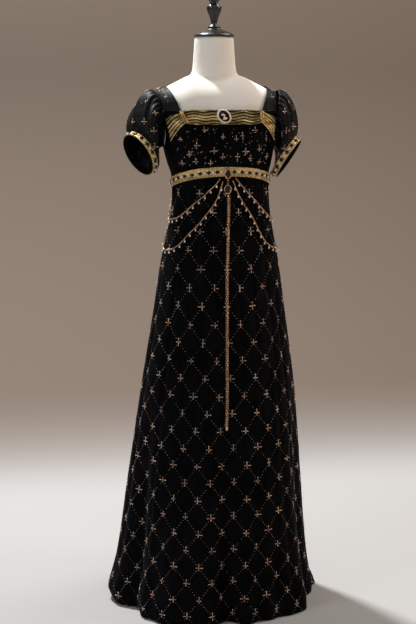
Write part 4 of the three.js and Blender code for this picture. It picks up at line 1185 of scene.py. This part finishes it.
def jewelled_band(name, point_at, low, high, turns, stones, halo, tall=0.0055):
    """point_at(turn, level) is the band's surface; low and high are its edge levels; halo is its lift."""
    closed = turns[-1] - turns[0] > 6.2
    ring = turns[:-1] if closed else turns
    levels_up = np.linspace(0, 1, 9)[None, :]
    grid = point_at(ring[:, None], low(ring)[:, None] + (high(ring) - low(ring))[:, None] * levels_up)
    normals = grid_normals(grid, closed)
    ribs = 0.0004 * np.cos(8 * np.pi * levels_up)[..., None]
    band = cloth_shell(name + "_braid", grid + normals * (halo + BRAID + ribs), BRAID, closed)
    place(band, LAME, "jewelled_trim", name)
    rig.sheet(band, flat=cut_of(grid)[0], area=cut_of(grid)[1], held="laid", rests_on="bodice_front")

    cords = []
    for row, next_row in ((0, 1), (-1, -2)):
        edge = grid[:, row] + normals[:, row] * (halo + 0.0016) + unit(grid[:, next_row] - grid[:, row]) * 0.0014
        edge = np.concatenate([edge, edge[:1]]) if closed else edge
        at, direction = along(edge, np.arange(0.001, run_of(edge)[-1], 0.0026))
        cords.append(repeat(BEAD, at, frames_of(direction), (0.0013, 0.0013, 0.0016)))
    piece(name + "_edge_beads", cords, GOLD, "jewelled_trim")

    middle = np.concatenate([ring, ring[:1] + 2 * np.pi]) if closed else ring
    steps = run_of(point_at(middle, (low(middle) + high(middle)) / 2))
    pitch = steps[-1] / stones
    at_turn = np.interp((np.arange(2 * stones) + 0.5) * pitch / 2, steps, middle)
    level = (low(at_turn) + high(at_turn)) / 2
    step_up = 0.12 * (high(at_turn) - low(at_turn))
    du = point_at(at_turn + 0.01, level) - point_at(at_turn - 0.01, level)
    dv = point_at(at_turn, level + step_up) - point_at(at_turn, level - step_up)
    across, out = unit(du), unit(np.cross(du, dv))
    frames = np.stack([across, np.cross(out, across), out], -1)
    at = point_at(at_turn, level) + out * (halo + BRAID)
    (stone_at, pearl_at), (stone_frames, pearl_frames) = ((rows[::2], rows[1::2]) for rows in (at, frames))
    wide = min(0.0062, pitch * 0.27)
    piece(name + "_settings", [
        repeat(FINE_SETTING, stone_at, stone_frames, (wide + 0.0014, tall + 0.0012, 0.0016)),
        repeat(FINE_SETTING, pearl_at, pearl_frames, (0.0042, 0.0042, 0.0014))], GOLD, "jewelled_trim")
    piece(name + "_stones", [repeat(FINE_SETTING, stone_at, stone_frames, (wide, tall, 0.0034))], JET, "jewelled_trim")
    sideways, upward = pearl_frames[..., 0] * pitch * 0.25, pearl_frames[..., 1] * 0.00558
    corners = [repeat(DOME, pearl_at + sideways * dx + upward * dy, pearl_frames, 0.0013)
               for dx in (-1, 1) for dy in (-1, 1)]
    piece(name + "_pearls", [repeat(FINE_SETTING, pearl_at, pearl_frames, (0.0032, 0.0032, 0.0042))] + corners, PEARL,
          "jewelled_trim")
    print(name, "stones", stones, "pitch", round(float(pitch), 4))


# %% Belt and cuffs
for name, start, end in (("belt_front", -90, 90), ("belt_back", 90, 270)):
    turns = np.radians(np.linspace(start + 0.1, end - 0.1, 200))
    jewelled_band(name, section_point, lambda t: belt_top(t) - BELT_WIDTH, belt_top, turns, 17, 0.0019)
for side in CUFFS:
    jewelled_band("cuff_trim_" + side, sleeve_point(side), lambda t: np.full(np.shape(t), 0.875),
                  lambda t: np.full(np.shape(t), 0.995), np.linspace(0, 2 * np.pi, 161), 16, 0.0008, tall=0.0050)

# %% [markdown]
# ## Cameo, brooch, drop and clasps
# A cameo is an oval of dark shell or stone with a pale figure carved on it, set in a gold rim. The head
# here is a plain design of its own, built from a few rounded forms pressed flat against the ground. The
# brooch on the belt and the drop under it are polished black stones in beaded gold rims.

# %% Ovals that stand in front of the cloth
def front_at(z):
    cx, cy, _, front, _, _ = section(np.array(z, float))
    return np.array([cx, cy - front, z])


def jewel_frame(lean=0.0, tilt=0.0):
    """Frame of a flat jewel facing -Y: across, up and out, with its top leaning back and a tilt in its plane."""
    out, up = np.array([0, -math.cos(lean), math.sin(lean)]), np.array([0, math.sin(lean), math.cos(lean)])
    across = np.array([1.0, 0, 0])
    c, s = math.cos(tilt), math.sin(tilt)
    return np.stack([across * c + up * s, up * c - across * s, out], -1)


def oval_rim(frame, centre, half_width, half_height, rim, depth, segments=72, sides=12):
    """Rounded rim whose middle line is an oval: its vertices and triangles."""
    t = np.linspace(0, 2 * np.pi, segments, endpoint=False)
    a = np.linspace(0, 2 * np.pi, sides, endpoint=False)
    mid_w, mid_h = half_width - rim / 2, half_height - rim / 2
    radial = unit(np.stack([np.cos(t) * mid_h, np.sin(t) * mid_w], -1))
    flat = np.stack([mid_w * np.cos(t), mid_h * np.sin(t)], -1)
    ring = flat[:, None] + radial[:, None] * (np.cos(a)[None, :, None] * rim / 2)
    rise = np.broadcast_to((depth / 2 * (1 + np.sin(a)))[None, :, None], (segments, sides, 1))
    verts = np.concatenate([ring, rise], -1).reshape(-1, 3) @ frame.T + centre
    i, j = np.meshgrid(np.arange(segments), np.arange(sides), indexing="ij")
    n, m = (i + 1) % segments, (j + 1) % sides
    quads = np.stack([i * sides + j, n * sides + j, n * sides + m, i * sides + m], -1).reshape(-1, 4)
    return verts, np.concatenate([quads[:, :3], quads[:, [0, 2, 3]]])


FINE_DOME, FINE_BALL = ball(8, 28, True), ball(8, 14)


def shaped(template, frame, centre, size, offset=(0, 0, 0), turn=0.0):
    """A template stretched to size, turned in the jewel's plane, moved and set in the jewel's frame."""
    v = template[0] * np.array(size) @ turned_by(turn) + np.array(offset)
    return v @ frame.T + centre, template[1]


def oval_beads(frame, centre, half_width, half_height, count, radius, height):
    t = np.arange(count) * 2 * np.pi / count
    local = np.stack([half_width * np.cos(t), half_height * np.sin(t), np.full(count, height)], -1)
    return repeat(BEAD, local @ frame.T + centre, np.tile(frame, (count, 1, 1)), radius)


def set_on_cloth(z, half, proud, tilt=0.0):
    """Frame and centre of a jewel that stands proud of the front, with the cloth's own lean there."""
    lean = math.atan2(front_at(z + half)[1] - front_at(z - half)[1], 2 * half)
    frame = jewel_frame(lean, tilt)
    return frame, front_at(z) + proud * frame[:, 2], lean


print("fine dome has", len(FINE_DOME[1]), "triangles")

# %% Cameo
CAMEO_Z, CAMEO_TILT = 1.318, math.radians(35)
cameo_frame, cameo_at, cameo_lean = set_on_cloth(CAMEO_Z, 0.017, 0.0056, CAMEO_TILT)
cameo_at = cameo_at - np.array([0.001, 0, 0])
piece("cameo_rim", [
    oval_rim(cameo_frame, cameo_at, 0.0175, 0.0205, 0.004, 0.0048),
    oval_beads(cameo_frame, cameo_at, 0.0155, 0.0185, 34, 0.0013, 0.0046)], PEARL, "gold", "cameo_frame")
piece("cameo_inner_rim", [oval_rim(cameo_frame, cameo_at, 0.0137, 0.0167, 0.0013, 0.0042)], GOLD, "gold")
piece("cameo_ground", [shaped(FINE_DOME, cameo_frame, cameo_at, (0.0132, 0.0162, 0.0032))], JET, "jet", "cameo_stone")
carving = [  # size across, up and out; place across and up; turn in degrees
    ((0.0030, 0.0042, 0.0016), (0.0004, 0.0030), 8), ((0.0034, 0.0030, 0.0015), (-0.0019, 0.0056), -20),
    ((0.0016, 0.0034, 0.0013), (-0.0004, -0.0010), 6), ((0.0062, 0.0036, 0.0015), (-0.0006, -0.0062), -6),
    ((0.0018, 0.0016, 0.0014), (-0.0046, 0.0050), 0), ((0.0012, 0.0010, 0.0012), (0.0034, 0.0022), 0),
    ((0.0048, 0.0012, 0.0012), (-0.0004, -0.0088), -4),
]
upright_frame = jewel_frame(cameo_lean, CAMEO_TILT * 0.6)
piece("cameo_carving", [
    shaped(FINE_BALL, upright_frame, cameo_at, size, (*spot, 0.0030), math.radians(turn))
    for size, spot, turn in carving], SHELL_PINK, "relief", "cameo_relief")
print("cameo at", [round(float(v), 4) for v in cameo_at])

# %% Brooch, link and drop
BROOCH_Z, DROP_Z = 1.175, 1.1335
BEADS_IN = {"brooch": 0.0012, "drop": 0.0008}  # how far the beads lie inside the rim's outer edge
brooch_frame, brooch_at, _ = set_on_cloth(BROOCH_Z, 0.014, 0.0052)
drop_frame, drop_at = jewel_frame(), np.array([brooch_at[0], front_at(DROP_Z)[1] - 0.004, DROP_Z])
# A jewel's frame and place, half width and height, rim and its depth; beads round it with radius and
# height; the black stone's three half sizes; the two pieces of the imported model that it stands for
for name, frame, at, half, rim, (count, radius, height), stone, nodes in (
    ("brooch", brooch_frame, brooch_at, (0.010, 0.014), (0.0032, 0.004), (26, 0.0011, 0.0036),
     (0.0068, 0.0108, 0.0064), ("brooch_frame", "brooch_stone")),
    ("drop", drop_frame, drop_at, (0.010, 0.0115), (0.0026, 0.003), (24, 0.0010, 0.0026),
     (0.0074, 0.0088, 0.0050), ("drop_ring", "drop_stone")),
):
    beads_at = (half[0] - BEADS_IN[name], half[1] - BEADS_IN[name])
    piece(name + "_rim", [oval_rim(frame, at, *half, *rim), oval_beads(frame, at, *beads_at, count, radius, height)],
          GOLD, "gold", nodes[0])
    piece(name + "_cabochon", [shaped(FINE_DOME, frame, at, stone)], JET, "jet", nodes[1])
link_low, link_high = DROP_Z + 0.0118, BROOCH_Z - 0.0165
link_at = np.array([brooch_at[0], drop_at[1], (link_low + link_high) / 2])
piece("drop_link_ring", [oval_rim(drop_frame, link_at, 0.0026, (link_high - link_low) / 2, 0.0012, 0.0022, 32, 8)],
      GOLD, "gold", "drop_link")
print("brooch at", [round(float(v), 4) for v in brooch_at])

# %% Clasps: two rows of gold beads on a slanting bar
for side, sign in SIDES:
    v = np.linspace(0, 1, 12)
    bars, beads = [], []
    for shift in (-1.25, 1.25):
        degrees = sign * CLASP_AT + shift - 2.5 * (v - 0.5)
        spine = section_point(np.radians(degrees), 1.303 + 0.031 * v)
        out = unit((spine - np.array([0.002, -0.024, 0])) * [1, 1, 0])
        spine = spine + out * 0.0058
        bars.append(tube(spine, 0.0019, 8))
        at, _ = along(spine, np.linspace(0.0015, 0.030, 8))
        beads.append(repeat(BEAD, at + out[:1] * 0.0012, frames_of(np.repeat(out[:1], len(at), 0)), 0.0024))
    piece("clasp_bar_" + side, bars, GOLD, "gold", "clasp_" + side)
    piece("clasp_beads_" + side, beads, GOLD, "gold")
    print("clasp", side, "on", len(bars), "bars")

# %% [markdown]
# ## Dress form
# The form is a padded torso covered with pale jersey, with a tall neck, a black lacquered cap and a
# turned finial. Its body follows the gown's own sections, a little smaller. The neck is blended into the
# shoulders by rebuilding both as one skin of small squares and smoothing it, which is how a jersey cover
# stretches over the join.

# %% Body and neck as one smooth skin
def lathe(profile, segments=96):
    """Solid turned about the pole's axis from (radius, height) pairs that start and end on the axis."""
    t = np.linspace(0, 2 * np.pi, segments, endpoint=False)
    points = np.array([[(radius * c, radius * s, z) for radius, z in profile] for c, s in zip(np.cos(t), np.sin(t))])
    return points.reshape(-1, 3), grid_faces(segments, len(profile), True)


def rounded_profile(points, per_span=8):
    """A smooth profile through (radius, height) pairs, closed to the axis at both ends."""
    p = np.array(points)
    line = smooth_line(np.column_stack([p, np.zeros(len(p))]), per_span)[:, :2]
    line[:, 0] = np.maximum(line[:, 0], 0)
    line[-1, 0] = 0
    return np.concatenate([[[0, p[0, 1]]], line])


FORM_BOTTOM, BODY_INSET, RINGS, SKIN_SQUARE, SKIN_PASSES = 0.850, 0.0055, 160, 0.0042, 14
turn = np.linspace(0, 2 * np.pi, RINGS, endpoint=False)
rows = []
for z in np.concatenate([np.linspace(FORM_BOTTOM, 1.1, 24), np.linspace(1.1, TORSO_TOP, 30)[1:]]):
    rows.append(section_point(turn, np.full(RINGS, z), BODY_INSET + 0.1 * max(1.100 - z, 0)))
base = section_point(turn, np.full(RINGS, TORSO_TOP), BODY_INSET)
for share in np.linspace(0, 1, 22)[1:]:
    quarter = share * np.pi / 2
    rows.append(shoulder_point(base[:, 0], np.where(np.cos(turn) >= 0, quarter, np.pi - quarter), BODY_INSET))
cx, cy = section(FORM_BOTTOM)[:2]
torso = np.stack([np.tile([cx, cy, FORM_BOTTOM], (RINGS, 1))] + rows, 1)
neck = lathe([(0, 1.388), (0.058, 1.388), (0.061, 1.430), (0.058, 1.444), (0.056, 1.462), (0.054, 1.492),
              (0.052, 1.528), (0, 1.528)])
rough_form = new_object("form rough", np.concatenate([torso.reshape(-1, 3), neck[0]]),
                        np.concatenate([grid_faces(RINGS, torso.shape[1], True), neck[1] + torso[..., 0].size]))
skin = rough_form.modifiers.new("one skin", "REMESH")
skin.mode, skin.voxel_size = "VOXEL", SKIN_SQUARE
soften = rough_form.modifiers.new("stretch", "SMOOTH")
soften.factor, soften.iterations = 0.5, SKIN_PASSES
evaluated = rough_form.evaluated_get(bpy.context.evaluated_depsgraph_get())
form_mesh = bpy.data.meshes.new_from_object(evaluated)
form_skin = bpy.data.objects.new("form_jersey", form_mesh)
bpy.context.scene.collection.objects.link(form_skin)
bpy.data.objects.remove(rough_form, do_unlink=True)
form_mesh.polygons.foreach_set("use_smooth", np.ones(len(form_mesh.polygons), bool))
place(form_skin, FORM_CLOTH, "form_cloth", "form_body")
print("form faces:", len(form_mesh.polygons))

# %% Cap and finial
CAP = [
    (0.0525, 1.5283), (0.0530, 1.5310), (0.0500, 1.5345), (0.0430, 1.5385), (0.0330, 1.5425), (0.0215, 1.5465),
    (0.0175, 1.5485), (0.0, 1.5500),
]
FINIAL = [
    (0.0165, 1.5503), (0.0170, 1.5535), (0.0120, 1.5575), (0.0085, 1.5605), (0.0085, 1.5660), (0.0105, 1.5740),
    (0.0135, 1.5830), (0.0175, 1.5930), (0.0198, 1.6010), (0.0190, 1.6060), (0.0130, 1.6120), (0.0105, 1.6155),
    (0.0130, 1.6200), (0.0185, 1.6290), (0.0215, 1.6380), (0.0180, 1.6490), (0.0090, 1.6585), (0.0, 1.6610),
]
for name, outline, per_span, segments, node in (
    ("cap_satin", CAP, 8, 96, "form_cap"), ("finial_turning", FINIAL, 4, 64, "form_finial"),
):
    turned = new_object(name, *lathe(rounded_profile(outline, per_span), segments))
    place(turned, BLACK_SATIN, "black_lacquer", node)
    print(name, "faces:", len(turned.data.polygons))
for name in ("form_base", "form_pole"):
    bpy.data.objects[name].data.materials.clear()
    bpy.data.objects[name].data.materials.append(STEEL)

size_note = {"cad_box": [list(map(float, c)) for c in cad_box],
             "visual_box": [list(map(float, c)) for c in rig.bounds()]}
with open("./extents.json", "w") as out_file:
    json.dump(size_note, out_file)
print("pieces:", len([o for o in bpy.data.objects if o.type == "MESH"]))
